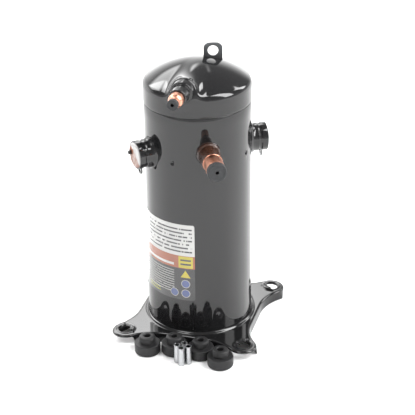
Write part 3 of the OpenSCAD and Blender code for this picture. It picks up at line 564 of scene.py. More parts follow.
def label_print():
    """Generic data label. Its own UV map gives millimetres along and up: a white upper panel with grey bars,
    an orange band, a yellow square and triangle, blue discs, and a grey lower panel with pale bars.
    There is no lettering and no pictogram."""
    f = Finish("label_print")
    u, v, _ = f.split(f.node("ShaderNodeUVMap", {"uv_map": "label"}, {}))
    width, height = LABEL_W / MM, LABEL_H / MM
    white, black = rgb(0.42, 0.42, 0.41), rgb(0.006, 0.006, 0.006)
    ink, slate = rgb(0.030, 0.030, 0.033), rgb(0.012, 0.012, 0.013)
    pale, orange = rgb(0.26, 0.26, 0.25), rgb(0.24, 0.070, 0.030)
    yellow, lime, blue = rgb(0.36, 0.30, 0.020), rgb(0.22, 0.22, 0.03), rgb(0.050, 0.070, 0.18)

    def area(left, right, low, high):
        return (u > left) * (u < right) * (v > low) * (v < high)

    def disc(at_u, at_v, radius):
        return ((u - at_u) ** 2.0 + (v - at_v) ** 2.0) < radius * radius

    def bars(left, right, low, high, pitch, share, cut):
        """Rows of blank bars: level stripes broken into words' lengths by a stretched noise."""
        stripe = ((v - low) / pitch).math("FRACT") < share
        row = ((v - low) / pitch).math("FLOOR")
        cell = f.node("ShaderNodeCombineXYZ", {}, {0: u * 0.11, 1: row * 7.3})
        words = f.noise(1.0, 3.0, 0.7, cell) > cut
        return area(left, right, low, high) * stripe * words

    colour = white
    for mask, ink_colour in (
            (area(-1, width + 1, -1, 56), slate),
            (area(-1, width + 1, 56, 78), orange),
            (area(2, width - 34, 60, 64), white),
            (bars(width - 92, width - 4, 84, 128, 6.4, 0.42, 0.44), ink),
            (area(width - 150, width - 112, 92, 126), black),
            (disc(width - 131, 109, 12), white),
            (disc(width - 131, 109, 9), black),
            (bars(width - 150, width - 34, 12, 54, 4.2, 0.36, 0.40), pale),
            (area(width - 26, width - 3, 57, 77), yellow),
            (area(width - 23, width - 6, 62, 65), ink),
            (area(width - 23, width - 6, 69, 72), ink),
            (bars(width - 96, width - 62, 5, 12, 5.0, 0.5, 0.2), lime),
            (disc(width - 15, 29, 7.2), pale), (disc(width - 15, 29, 6.2), blue),
            (disc(width - 15, 12, 7.2), pale), (disc(width - 15, 12, 6.2), blue),
            (disc(width - 34, 12, 7.2), pale), (disc(width - 34, 12, 6.2), blue)):
        colour = f.mixed(mask, colour, ink_colour)
    rise = v - 40.0
    triangle = (rise > 0.0) * (rise < 13.0) * (abs(u - (width - 15.0)) < (13.0 - rise) * 0.62)
    colour = f.mixed(triangle, colour, yellow)
    paper = f.noise(500.0, 3.0, 0.5)
    return f.surface({
        "Base Color": f.mixed(paper * 0.04, colour, rgb(0.20, 0.20, 0.19)),
        "Roughness": 0.16 + paper * 0.10,
        "Coat Weight": 0.6 + paper * 0.2,
        "Normal": f.bumps(f.noise(60.0, 2.0), 0.00012, 0.5)})


ENAMEL = black_enamel()
# Foot plate enamel: the heavier orange peel is real, but the base tone darker than the shell's is painted
# shade for the plate's darker reflections.
PLATE_ENAMEL_WITH_PAINTED_SHADE = black_enamel("plate_enamel_painted_shade", 1.6, 0.007)
TINTED = heat_tinted_enamel()
COPPER = bright_copper()
PLUG = plug_rubber()
MOUNT = mount_rubber()
ZINC = zinc_plate("zinc_plate", 0.45, 0.16)
DARK_STEEL = dark_steel()
RIM_PAINT = painted_rim()
PLAIN_STEEL = metal("plain_steel", (0.36, 0.37, 0.39), (0.58, 0.59, 0.60), 0.26)
GROUND_STEEL = metal("ground_steel", (0.52, 0.53, 0.55), (0.72, 0.73, 0.74), 0.16, 1800.0, (1, 1, 8))
GREY_IRON = metal("grey_iron", (0.13, 0.13, 0.135), (0.25, 0.25, 0.255), 0.46, 1500.0, depth=0.0003)
CAST_ALUMINIUM = metal("cast_aluminium", (0.55, 0.56, 0.57), (0.78, 0.78, 0.79), 0.34, 900.0, depth=0.0002)
BRONZE = metal("bearing_bronze", (0.42, 0.22, 0.08), (0.66, 0.40, 0.17), 0.28, 1600.0, (1, 1, 6))
BRASS_PIN = metal("pin_metal", (0.60, 0.44, 0.18), (0.82, 0.66, 0.34), 0.22)
MAGNET = metal("magnet", (0.045, 0.045, 0.05), (0.10, 0.10, 0.11), 0.4, 1200.0, depth=0.0002, metallic=0.6)
RED_PLASTIC = plastic("red_plastic", (0.30, 0.045, 0.035), (0.46, 0.09, 0.06), 0.34)
PALE_PLASTIC = plastic("pale_plastic", (0.66, 0.62, 0.56), (0.80, 0.77, 0.72), 0.32)
BLACK_PLASTIC = plastic("black_plastic", (0.012, 0.012, 0.013), (0.028, 0.028, 0.03), 0.26)
LEAD_COVER = plastic("lead_insulation", (0.42, 0.045, 0.02), (0.60, 0.10, 0.04), 0.4)
SEAL_RING = plastic("seal_ring", (0.03, 0.028, 0.025), (0.06, 0.055, 0.05), 0.42)
LAMINATED = laminations()
WIRE = enamelled_wire()
GLASS = seal_glass()
COVER = cover_finish()
LABEL = label_print()

# ---- Shell, caps and seam --------------------------------------------------------------


def dense_lines(start, end, step, places, reach, fine):
    """Grid lines from start to end, closer together near each of the places."""
    lines = [np.arange(start, end - step / 2, step), [end]]
    lines += [np.arange(p - reach, p + reach + fine / 2, fine) for p in places]
    every = np.unique(np.round(np.concatenate(lines), 7))
    every = every[(every > start - 1e-6) & (every < end + 1e-6)]
    keep = np.concatenate([[True], np.diff(every) > fine * 0.4])
    return every[keep]


STAKE_Z = 295.5 * MM
STAKE_AZ = [math.radians(-12 + 90 * k) for k in range(4)]
STAKE_R = 4.8 * MM
STAKE_DEPTH = 2.2 * MM
STAKE_RIDGE = 0.18 * MM


def centre_shell():
    """Rolled tube: a straight wall with a rounded top rim, dished in at the four stakes by
    depth * (1 - d^2)^2, with d the distance from the stake over its radius, and a low ridge round each."""
    reach = STAKE_R * 1.3
    start = STAKE_AZ[0] - 0.5
    coarse, fine = math.radians(3), math.radians(0.42)
    azimuth = dense_lines(start, start + TURN, coarse, STAKE_AZ, reach / SHELL_R, fine)[:-1]
    z = dense_lines(PLATE_TOP, shell_high.z - 0.6 * MM, 12 * MM, [STAKE_Z], reach, 0.6 * MM)
    azimuth, z = azimuth[:, None], z[None]
    depth = np.zeros(np.broadcast(azimuth, z).shape)
    for stake in STAKE_AZ:
        d2 = (((azimuth - stake) * SHELL_R) ** 2 + (z - STAKE_Z) ** 2) / STAKE_R ** 2
        depth += STAKE_DEPTH * np.clip(1 - d2, 0, 1) ** 2
        depth -= STAKE_RIDGE * np.exp(-((d2 - 1.3) / 0.25) ** 2)
    outer = np.stack(np.broadcast_arrays((SHELL_R - depth) * np.sin(azimuth),
                                         -(SHELL_R - depth) * np.cos(azimuth), z), -1)
    rim = np.array([(0, 0), (-0.2, 0.4), (-0.6, 0.6), (-3.0, 0.6), (-3.2, 0.2), (-3.2, -6)]) * MM
    rim_r = SHELL_R + rim[:, 0]
    rim_z = z.max() + rim[:, 1]
    foot_r, foot_z = np.array([SHELL_R - SHEET_T]), np.array([PLATE_TOP])
    back_r, back_z = np.concatenate([rim_r[1:], foot_r]), np.concatenate([rim_z[1:], foot_z])
    back = np.stack(np.broadcast_arrays(back_r * np.sin(azimuth), -back_r * np.cos(azimuth), back_z), -1)
    return [patch(np.concatenate([outer, back], 1), True, True)]


def boss_gap(point):
    """Signed distance to the drawn boss round the discharge port: a level drum, narrower towards its back,
    with a rounded front edge."""
    way, side = axes(DISCHARGE_AZ)
    along, across = point @ way, point @ side
    lift = point[..., 2] - DISCHARGE_Z
    edge = 5.0 * MM
    girth = PAD_R + 0.5 * MM - 0.22 * np.clip(PAD_FACE - along, 0, 1)
    dr = np.hypot(across, lift) - (girth - edge)
    da = along - (PAD_FACE - edge)
    return np.minimum(np.maximum(dr, da), 0) + np.hypot(np.maximum(dr, 0), np.maximum(da, 0)) - edge


def dish_curve(drop, knuckle, crown):
    """Radius and height along the dish, drop below its outer skin, at the given turns round the knuckle and
    then the crown: an arc about each one's centre."""
    knuckle_r, crown_r = CAP_KNUCKLE - drop, CAP_CROWN - drop
    radius = [CAP_R - CAP_KNUCKLE + knuckle_r * np.cos(knuckle), crown_r * np.cos(crown)]
    height = [KNUCKLE_Z + knuckle_r * np.sin(knuckle), CROWN_Z + crown_r * np.sin(crown)]
    return np.concatenate(radius), np.concatenate(height)


def top_cap():
    """Dished end: wall, knuckle and crown turned about the axis, then each point of the outer skin moved out
    along its normal, by halving steps, to the smooth union of the dish and the boss: a polynomial blend over
    the width of the root between them. The move fades out towards the seam."""
    root, fade_h, farthest, halvings = 20.0 * MM, 16 * MM, 0.05, 26
    wall_z = np.concatenate([[0.0], np.linspace(0.5 * MM, CAP_WALL_H, 16)]) + SEAM_Z
    knuckle = np.linspace(0, CROWN_TURN, 19)[1:]
    crown = np.linspace(CROWN_TURN, math.pi / 2, 60)[1:]
    dish_r, dish_z = dish_curve(0, knuckle, crown)
    radius = np.concatenate([np.full(wall_z.shape, CAP_R), dish_r])
    height = np.concatenate([wall_z, dish_z])
    lean = np.concatenate([np.zeros(wall_z.shape), knuckle, crown])
    near = np.linspace(-1, 1, 181)
    azimuth = (DISCHARGE_AZ + math.pi * (0.42 * near + 0.58 * near ** 3))[:-1, None]
    ring = np.stack([np.sin(azimuth), -np.cos(azimuth), 0 * azimuth], -1)
    upright = np.array([0.0, 0.0, 1.0])
    skin = ring * radius[None, :, None] + upright * height[None, :, None]
    normal = ring * np.cos(lean)[None, :, None] + upright * np.sin(lean)[None, :, None]
    low, high = np.zeros(skin.shape[:2]), np.full(skin.shape[:2], farthest)
    for _ in range(halvings):
        half = (low + high) / 2
        boss = boss_gap(skin + normal * half[..., None])
        share = np.maximum(root - np.abs(half - boss), 0) / root
        inside = np.minimum(half, boss) - share ** 2 * root / 4 < 0
        low, high = np.where(inside, half, low), np.where(inside, high, half)
    fade = smooth_step(SEAM_Z, SEAM_Z + fade_h, height)[None]
    outer = skin + normal * (low * fade)[..., None]
    lip = np.array([(0.0, 0.5), (-0.15, 0.15), (-0.5, 0.0)]) * MM
    lip_r, lip_z = CAP_R + lip[::-1, 0], SEAM_Z + lip[::-1, 1]
    inner_r, inner_z = dish_curve(SHEET_T, knuckle[::3], crown[4::5])
    inner_r = np.concatenate([[CAP_R - SHEET_T], inner_r, [0.0]])
    inner_z = np.concatenate([[SEAM_Z], inner_z, [CROWN_Z + CAP_CROWN - SHEET_T]])
    under = ring * inner_r[None, ::-1, None] + upright * inner_z[None, ::-1, None]
    edge = ring * lip_r[None, :, None] + upright * lip_z[None, :, None]
    return [patch(np.concatenate([under, edge, outer[:, 1:]], 1), True, False)]


# ---- Foot plate ------------------------------------------------------------------------

ROLL = 3.4 * MM
PLATE_SKIN = 2.6 * MM
SKIRT_ENDS = (0.45, -0.2)  # how far round a foot the skirt runs, in foot radii, from an X and from a Y side
side_gap = HALF_PITCH - PLATE_HALF
side_run = HALF_PITCH - SIDE_STRAIGHT
FILLET_R = (side_run ** 2 + side_gap ** 2 - FOOT_R ** 2) / (2 * (FOOT_R + side_gap))


def quarter_outline(inset, tip_steps, fillet_steps, side_steps):
    """Outline of one corner of the plate, from the middle of the right side to the middle of the back side:
    half a straight side, a hollow fillet, the foot's round end, and the same back again. Returns the points,
    their outward normals, and the numbers of the first and last point of the foot's round end."""
    reach, tip = FILLET_R + inset, FOOT_R - inset
    centre = np.array([PLATE_HALF + FILLET_R, SIDE_STRAIGHT])
    foot = np.array([HALF_PITCH, HALF_PITCH])
    line = foot - centre
    touch = math.atan2(line[1], line[0])
    y = np.linspace(0, SIDE_STRAIGHT, side_steps, endpoint=False)
    side = np.stack([np.full(y.shape, PLATE_HALF - inset), y], -1)
    side_n = np.tile([1.0, 0.0], (side_steps, 1))
    t = np.linspace(math.pi, touch, fillet_steps, endpoint=False)
    arm = np.stack([np.cos(t), np.sin(t)], -1)
    hollow, hollow_n = centre + reach * arm, -arm
    start = touch - math.pi
    t = np.linspace(start, math.pi / 2 - start, tip_steps)
    arm = np.stack([np.cos(t), np.sin(t)], -1)
    end, end_n = foot + tip * arm, arm
    swap = np.array([[0.0, 1.0], [1.0, 0.0]])
    points = np.vstack([side, hollow, end, (hollow @ swap)[::-1], (side @ swap)[::-1][:-1]])
    normals = np.vstack([side_n, hollow_n, end_n, (hollow_n @ swap)[::-1], (side_n @ swap)[::-1][:-1]])
    first = side_steps + fillet_steps
    return points, normals, first, first + tip_steps - 1


def around(points, turns):
    """The same outline turned about the axis by each of the given numbers of quarter turns."""
    out = []
    for k in turns:
        c, s = round(math.cos(k * math.pi / 2)), round(math.sin(k * math.pi / 2))
        out.append(points @ np.array([[c, s], [-s, c]]))
    return np.vstack(out)


def skirt(corner, corner_n, first, last):
    """Roll over the edge, a quarter circle, then straight down to a depth that depends on the place along the
    outline: it falls to nothing round the feet's ends, after a small spur."""
    count = len(corner)
    beyond = (corner - HALF_PITCH) @ np.array([1.0, 1.0]) / math.sqrt(2)
    from_x_side = np.arange(count) <= (first + last) // 2
    roll_z = PLATE_TOP - ROLL
    quarters = []
    for k in range(4):
        ends = SKIRT_ENDS if k % 2 == 0 else SKIRT_ENDS[::-1]
        past = beyond - np.where(from_x_side, *ends) * FOOT_R
        drop = 1 - smooth_step(-0.3 * MM, 2.4 * MM, past)
        spur = np.exp(-((past + 2.0 * MM) / (2.6 * MM)) ** 2) * 1.2 * MM
        low_edge = roll_z + (FLOOR_Z + 0.5 * MM - PLATE_TOP + ROLL) * drop
        rows = []
        for t in np.linspace(0, math.pi / 2, 7):
            level = PLATE_TOP - ROLL * (1 - math.cos(t))
            rows.append((corner + corner_n * (ROLL * math.sin(t)), np.full(count, level)))
        for share in (0.08, 0.5, 0.92, 1.0):
            out = corner + corner_n * (ROLL + spur * share ** 2)[:, None]
            rows.append((out, roll_z * (1 - share) + low_edge * share))
        quarters.append(np.stack([np.column_stack([around(p, [k]), z]) for p, z in rows]))
    return patch(np.concatenate(quarters, 1), False, True)


def web(border):
    """Flat top of the plate, from the bead of the weld collar out to the border, in even shares."""
    bead = np.array([(0.25, 3.4), (1.2, 3.5), (2.3, 3.2), (3.2, 2.5), (3.9, 1.5), (4.5, 0.7), (5.2, 0.2),
                     (6.4, 0.0)]) * MM
    angle = np.arctan2(border[:, 1], border[:, 0])
    way = np.stack([np.cos(angle), np.sin(angle)], -1)
    rows = [np.column_stack([way * (SHELL_R + r), np.full(len(angle), PLATE_TOP + h)]) for r, h in bead]
    inner = way * (SHELL_R + bead[-1][0])
    for share in (0.1, 0.3, 0.5, 0.7, 0.9, 1.0):
        rows.append(np.column_stack([inner + (border - inner) * share, np.full(len(angle), PLATE_TOP)]))
    return patch(np.stack(rows), False, True)


def feet(border):
    """The four feet, each a ring of points from its dished hole out to the border."""
    foot = np.array([HALF_PITCH, HALF_PITCH])
    arm = border - foot
    angle = np.arctan2(arm[:, 1], arm[:, 0])
    unit = np.stack([np.cos(angle), np.sin(angle)], -1)
    dish = np.array([(0, -3.2), (0.05, -1.6), (0.5, -0.3), (1.3, 0.5), (2.3, 0.9), (3.4, 0.8), (4.4, 0.3),
                     (5.4, 0.02)]) * MM
    rows = [(foot + unit * (FOOT_HOLE_R + r), PLATE_TOP + h) for r, h in dish]
    start = rows[-1][0]
    rows += [(start + (border - start) * share, PLATE_TOP) for share in (0.25, 0.6, 1.0)]
    grids = [[np.column_stack([around(p, [k]), np.full(len(p), z)]) for p, z in rows] for k in range(4)]
    return [patch(np.stack(grid), False, True) for grid in grids]


def foot_plate():
    """Pressed foot plate: skirt, web and feet. A chord across the neck of each foot parts web and foot."""
    corner, corner_n, first, last = quarter_outline(ROLL, 41, 26, 14)
    neck_a, neck_b = corner[first - 3], corner[last + 3]
    chord = neck_a + (neck_b - neck_a) * np.linspace(0, 1, 25)[:, None]
    web_border = around(np.vstack([corner[:first - 3], chord[:-1], corner[last + 3:]]), range(4))
    foot_border = np.vstack([chord[::-1][:-1], corner[first - 3:last + 3]])
    return [skirt(corner, corner_n, first, last), web(web_border)] + feet(foot_border)


# ---- Ports and plugs -------------------------------------------------------------------


def suction_boss():
    """Turned fitting: a skirt laid on the shell, a step, and a long neck round the tube."""
    back, step = SHELL_R - 14 * MM, SHELL_R + 4 * MM
    bore, weld_r = SUCTION_R + 0.1 * MM, SUCTION_RING_R + 0.8 * MM
    corners = [(bore, back), (bore, SUCTION_NECK_END), (SUCTION_NECK_R, SUCTION_NECK_END),
               (SUCTION_NECK_R, step + 3 * MM), (SUCTION_RING_R, step), (SUCTION_RING_R, SHELL_R + 1.6 * MM),
               (weld_r, SHELL_R + 0.4 * MM), (weld_r, back)]
    profile = rounded(corners, np.array([0, 0.4, 1.1, 2.4, 1.3, 0.8, 0.5, 0]) * MM, 6)
    points, faces = turned(profile, SUCTION_AZ, SUCTION_Z, 96)
    return [(laid_on_shell(points, SUCTION_AZ, 0.5 * MM, 7 * MM), faces)]


def tube_stub(radius, start, end, azimuth, height):
    """Plain tube with a rounded mouth."""
    mouth = rounded([(radius - STUB_WALL, start), (radius - STUB_WALL, end), (radius, end), (radius, start)],
                    [0, 0.45 * MM, 0.45 * MM, 0], 5)
    return [turned(mouth, azimuth, height, 80)]


def belled_stub():
    """Discharge tube: belled out in front of its fitting, then drawn in by a rounded shoulder to its
    mouth."""
    wall, bell, nose = STUB_WALL, DISCHARGE_NECK_END + 0.2 * MM, DISCHARGE_END - 5.4 * MM
    start, step = PAD_FACE - 12 * MM, 1.2 * MM
    outer = [(DISCHARGE_R, start), (DISCHARGE_R, bell), (BELL_R, bell + step), (BELL_R, nose - 4 * MM),
             (NOSE_R, nose), (NOSE_R, DISCHARGE_END)]
    inner = [(NOSE_R - wall, DISCHARGE_END), (NOSE_R - wall, nose - 0.5 * MM),
             (BELL_R - wall, nose - 4.5 * MM), (BELL_R - wall, bell + step), (DISCHARGE_R - wall, bell),
             (DISCHARGE_R - wall, start)]
    radii = np.array([0, 0.5, 0.5, 2.4, 1.6, 0.45, 0.45, 1.0, 2.0, 0.4, 0.4, 0]) * MM
    return [turned(rounded(np.array(outer + inner), radii, 5), DISCHARGE_AZ, DISCHARGE_Z, 80)]


def braze_ring(radius, at, azimuth, height):
    """Fillet of braze metal: a small ellipse turned about the tube where it leaves its neck."""
    t = np.linspace(0, TURN, 14, endpoint=False)
    profile = np.stack([radius + 0.7 * MM * np.cos(t), at + 1.2 * MM * np.sin(t)], -1)
    return [turned(profile, azimuth, height, 72)]


def shipping_plug(head_r, head_h, stem_r, stem_h, end, azimuth, height):
    """Rubber plug: a thick disc with a rolled rim and a slightly hollow face, a blind hole in its middle and
    two sealing rings on its stem."""
    profile = np.array([
        (0, head_h - 8.0 * MM), (2.6 * MM, head_h - 8.0 * MM), (2.6 * MM, head_h - 0.5 * MM),
        (3.4 * MM, head_h - 0.5 * MM), (head_r * 0.72, head_h - 0.5 * MM), (head_r * 0.80, head_h),
        (head_r, head_h), (head_r, 0.1 * MM), (stem_r, 0.1 * MM), (stem_r, -3 * MM),
        (stem_r - 0.6 * MM, -4 * MM), (stem_r, -5 * MM), (stem_r, -7.5 * MM), (stem_r - 0.6 * MM, -8.5 * MM),
        (stem_r, -9.5 * MM), (stem_r - 1.4 * MM, -stem_h), (0, -stem_h)])
    back = min(1.3, (head_r - stem_r) / MM * 0.45)
    radii = np.array([0, 0, 0.6, 0, 0.8, 0.6, 1.5, back, 0, 0.3, 0.3, 0.3, 0.3, 0.3, 0.3, 1.0, 0]) * MM
    profile = rounded(profile + np.array([0, end]), radii, 6)
    points, _ = turned(profile, azimuth, height, 80)
    return [patch(points, True, False)]


def discharge_boss():
    """Turned fitting pressed into the cap's boss: a thick ring with rolled edges and a raised neck."""
    back, bore = PAD_FACE - 6 * MM, DISCHARGE_R + 0.1 * MM
    profile = rounded(np.array([
        (bore, back), (bore, DISCHARGE_NECK_END), (DISCHARGE_NECK_R, DISCHARGE_NECK_END),
        (DISCHARGE_NECK_R, FITTING_FRONT), (FITTING_RING_R, FITTING_FRONT), (FITTING_RING_R, back)]),
        np.array([0, 0.3, 1.4, 1.6, 2.6, 0]) * MM, 7)
    return [turned(profile, DISCHARGE_AZ, DISCHARGE_Z, 80)]


# ---- Terminal fences -------------------------------------------------------------------


def fence_barrel(azimuth, front):
    """Drawn ring welded to the shell: a flared foot that follows the shell's curve, a shallow rolled groove
    and a rolled mouth."""
    reach = front - SHELL_R
    groove, groove_r = reach * 0.40, FENCE_R - 0.9 * MM
    weld_r, inner_r, back = FLANGE_R + 0.6 * MM, FENCE_R - FENCE_WALL, -7 * MM
    outer = np.array([
        (weld_r, back), (weld_r, 1.2 * MM), (FLANGE_R - 1.4 * MM, 3.0 * MM), (FENCE_R, 5.0 * MM),
        (FENCE_R, groove), (groove_r, groove + 1.6 * MM), (groove_r, groove + 4.2 * MM),
        (FENCE_R, groove + 5.8 * MM), (FENCE_R, reach), (inner_r, reach), (inner_r, 0.0), (inner_r, back)])
    radii = np.array([0, 1.0, 1.6, 2.4, 1.0, 1.0, 1.0, 1.0, 0.9, 0.9, 0, 0]) * MM
    profile = rounded(outer + np.array([0, SHELL_R]), radii, 5)
    points, faces = turned(profile, azimuth, FENCE_Z, 180)
    return [(laid_on_shell(points, azimuth, 2 * MM, 8 * MM), faces)]


def ground_lug(azimuth, front):
    """Flat tongue under the fence with a round end and a hole: rings of points between the hole and the
    border, front face, rounded edge, back face and bore in one closed band. A ring is given by its share of
    the way to the border, its depth in the thickness, and how far its edge is pulled in or out."""
    hole_r, end_r, root_h, thick = 2.7 * MM, 7 * MM, 5.5 * MM, 2 * MM
    drop, set_back, edge = FENCE_R + 4 * MM, 9 * MM, 0.7 * MM
    t = np.linspace(0, TURN, 72, endpoint=False)
    unit = np.stack([np.cos(t), np.sin(t)], -1)
    border = unit * end_r
    upper = unit[:, 1] > 0
    border[upper, 1] = np.clip(unit[upper, 1] * 3, 0, 1) * root_h
    border[upper, 0] = np.clip(unit[upper, 0] * 1.8, -1, 1) * end_r
    way, side = axes(azimuth)
    grid = []
    for share, depth, pull in ((0, 0.25, 0.3), (0, 0, 0.6), (0.5, 0, 0), (1, 0, -0.5), (1, 0.25, -0.15),
                               (1, 0.5, 0), (1, 0.75, -0.15), (1, 1, -0.5), (0.5, 1, 0), (0, 1, 0.6),
                               (0, 0.75, 0.3)):
        arm = unit * hole_r * (1 - share) + border * share + unit * pull * edge
        points = way * (front - set_back + thick * (1 - depth)) + arm[:, :1] * side
        points[:, 2] += FENCE_Z - drop + arm[:, 1]
        grid.append(points)
    return [patch(np.stack(grid), True, True)]


def terminal_cover(azimuth, front, lean):
    """Push-in cover: a stepped disc with a rolled rim, its face waved by a few low swells so that light
    breaks on it, and hollow behind."""
    r = FENCE_R - FENCE_WALL - 0.25 * MM
    hollow, back, face_z, rim_z = -2.8 * MM, -9 * MM, 0.4 * MM, 1.4 * MM
    corners = [(0, hollow), (r - 2 * MM, hollow), (r - 2 * MM, back), (r, back), (r, face_z),
               (r - 2.2 * MM, rim_z), (r - 4.5 * MM, rim_z), (r - 6 * MM, face_z), (0, face_z)]
    radii = np.array([0, 0.3, 0.3, 0.3, 0.9, 0.9, 0.8, 0.8, 0]) * MM
    profile = rounded(np.array(corners) + np.array([0, front]), radii, 5)
    steps = 96
    points, _ = turned(profile, azimuth, FENCE_Z, steps)
    angle = np.linspace(0, TURN, steps, endpoint=False)[:, None]
    radius = profile[:, 0][None]
    swell = np.sin(3 * angle + 1.1) * 0.35 + np.sin(5 * angle - radius * 300) * 0.25
    face = smooth_step(front - 0.4 * MM, front + 0.2 * MM, profile[:, 1])[None]
    shift = lean * swell * face * smooth_step(0, r * 0.4, radius) * 0.8 * MM
    return [patch(points + shift[..., None] * axes(azimuth)[0], True, False)]


def pull_tab(azimuth, front, turn):
    """Small moulded tab on a cover's face: a rounded block whose section shrinks to its free end."""
    u = np.linspace(0, TURN, 32, endpoint=False)
    circle = np.stack([np.cos(u), np.sin(u)], -1)
    section = np.sign(circle) * np.abs(circle) ** 0.4 * np.array([1.7 * MM, 3.2 * MM])
    v = np.array([0.0, 0.5, 3.4, 4.6, 5.2, 5.4]) * MM
    size = np.array([1.0, 1.0, 0.94, 0.86, 0.6, 0.0])
    r = FENCE_R - FENCE_WALL - 6.5 * MM
    way, side = axes(azimuth)
    up = np.array([0, 0, 1.0])
    radial = math.cos(turn) * side + math.sin(turn) * up
    cross = -math.sin(turn) * side + math.cos(turn) * up
    base = way * (front + 0.5 * MM) + radial * r + up * FENCE_Z
    outline = radial * section[None, :, :1] + cross * section[None, :, 1:]
    grid = base + way * v[:, None, None] + size[:, None, None] * outline
    foot = np.broadcast_to(base, grid[:1].shape)
    return [patch(np.concatenate([foot, grid]), False, True)]


# ---- Lifting eye and mounting kit ------------------------------------------------------


def lifting_eye():
    """Flat bar bent upright: a band of points round the hole, out to the bar's clipped outline, over its
    rounded edge, and back through the bore."""
    centre = middle("lifting_eye")
    t = np.linspace(0, TURN, 121)[:-1]
    unit = np.stack([np.cos(t), np.sin(t)], -1)
    half_w, foot, shoulder = 14.5, -18, 5.2
    corners = rounded(np.array([(-half_w, foot), (half_w, foot), (half_w, shoulder), (12.8, 8.8), (8, 12.2),
                                (0, EYE_TOP_RISE / MM), (-8, 12.2), (-12.8, 8.8), (-half_w, shoulder)]) * MM,
                      np.array([1, 1, 3, 3, 4, 6, 4, 3, 3]) * MM, 8)
    share = np.linspace(0, 1, 30, endpoint=False)[:, None]
    dense = (corners[:, None] * (1 - share) + np.roll(corners, -1, 0)[:, None] * share).reshape(-1, 2)
    dense = dense[np.argsort(np.arctan2(dense[:, 1], dense[:, 0]))]
    turn = np.arctan2(dense[:, 1], dense[:, 0])
    size = np.interp(t, np.concatenate([turn, turn + TURN]), np.tile(np.linalg.norm(dense, axis=1), 2))
    border = unit * size[:, None]
    edge = 0.4 * MM
    rows = []
    for share, inset, depth in ((0, 0, 0.5), (0, 0, 0.18), (0, 0.3, 0.05), (0, 1, 0), (0.3, 0, 0),
                                (0.7, 0, 0), (1, 1, 0), (1, 0.3, 0.05), (1, 0, 0.18), (1, 0, 0.5),
                                (1, 0, 0.82), (1, 0.3, 0.95), (1, 1, 1), (0.7, 0, 1), (0.3, 0, 1), (0, 1, 1),
                                (0, 0.3, 0.95), (0, 0, 0.82)):
        arm = unit * EYE_HOLE_R * (1 - share) + border * share
        arm = arm + unit * (inset * edge * (1 if share == 0 else -1 if share == 1 else 0))
        rows.append(np.column_stack([arm[:, 0], np.full(len(t), (depth - 0.5) * EYE_T), arm[:, 1]]))
    grid = np.stack(rows)
    c, s = math.cos(EYE_TURN), math.sin(EYE_TURN)
    x = grid[..., 0] * c - grid[..., 1] * s + centre.x
    y = grid[..., 0] * s + grid[..., 1] * c + centre.y
    return [patch(np.stack([x, y, grid[..., 2] + EYE_Z], -1), True, True)]


def grommet(number):
    """Mounting grommet: a drum with a rolled foot, a shoulder, a narrow waist that sits in the plate, and a
    domed collar with the bolt sleeve's bore through it."""
    low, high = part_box(f"grommet_{number}")
    centre, h = (low + high) / 2, high.z - low.z
    r = (high.x - low.x) / 2
    bore = 5.2 * MM
    corners = [(bore, 0), (0.86 * r, 0), (0.96 * r, 0.03 * h), (r, 0.10 * h), (r, 0.60 * h),
               (0.58 * r, 0.605 * h), (0.57 * r, 0.675 * h), (0.64 * r, 0.68 * h), (0.645 * r, 0.88 * h),
               (0.58 * r, 0.975 * h), (0.42 * r, h), (0.30 * r, h), (bore, 0.955 * h)]
    profile = rounded(corners, np.array([0, 0.8, 1, 1, 1.3, 0.6, 0.5, 0.5, 2.4, 1.8, 1.2, 0.6, 0.5]) * MM, 6)
    return [lathed(profile + np.array([0, low.z]), centre, 80)]


def bolt_sleeve(number):
    """Steel sleeve: a plain tube with broken edges and the flat of its rolled seam."""
    low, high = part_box(f"sleeve_{number}")
    centre, r = (low + high) / 2, (high.x - low.x) / 2
    bore = r - 0.9 * MM
    profile = rounded([(bore, low.z), (r, low.z), (r, high.z), (bore, high.z)], 0.28 * MM, 4)
    points, faces = lathed(profile, centre, 64)
    off = points - np.array([centre.x, centre.y, 0])
    angle = np.arctan2(off[..., 1], off[..., 0])
    groove = np.exp(-((angle + 0.6 + number) / 0.06) ** 2) * 0.25 * MM
    scale = 1 - groove / r
    points[..., :2] = centre.xy[:] + off[..., :2] * scale[..., None]
    return [(points, faces)]


def label_sheet():
    """The label: a strip of the shell's cylinder a quarter of a millimetre proud, with rounded corners."""
    columns, rows, corner_r = 120, 12, 3 * MM
    radius = SHELL_R + 0.25 * MM
    s = np.linspace(0, 1, columns)[:, None]
    t = np.linspace(0, 1, rows)[None]
    corner = corner_r / LABEL_W
    pinch = corner_r * (1 - np.sqrt(1 - np.clip((corner - np.minimum(s, 1 - s)) / corner, 0, 1) ** 2))
    z = LABEL_LOW_Z + pinch + t * (LABEL_H - 2 * pinch)
    azimuth = LABEL_FROM + s * (LABEL_TO - LABEL_FROM)
    azimuth, z = np.broadcast_arrays(azimuth, z)
    front = np.stack([radius * np.sin(azimuth), -radius * np.cos(azimuth), z], -1)
    return [patch(front, False, False)]


def map_label(piece):
    """UV map of the label: millimetres along the shell's curve from its start, and millimetres up."""
    mesh = piece.data
    co = np.zeros(len(mesh.vertices) * 3)
    mesh.vertices.foreach_get("co", co)
    co = co.reshape(-1, 3)
    corner_vertex = np.zeros(len(mesh.loops), int)
    mesh.loops.foreach_get("vertex_index", corner_vertex)
    azimuth = np.arctan2(co[:, 0], -co[:, 1])
    uv = np.stack([(azimuth - LABEL_FROM) * SHELL_R / MM, (co[:, 2] - LABEL_LOW_Z) / MM], -1)
    mesh.uv_layers.new(name="label").data.foreach_set("uv", uv[corner_vertex].ravel())


# ---- Pieces ----------------------------------------------------------------------------

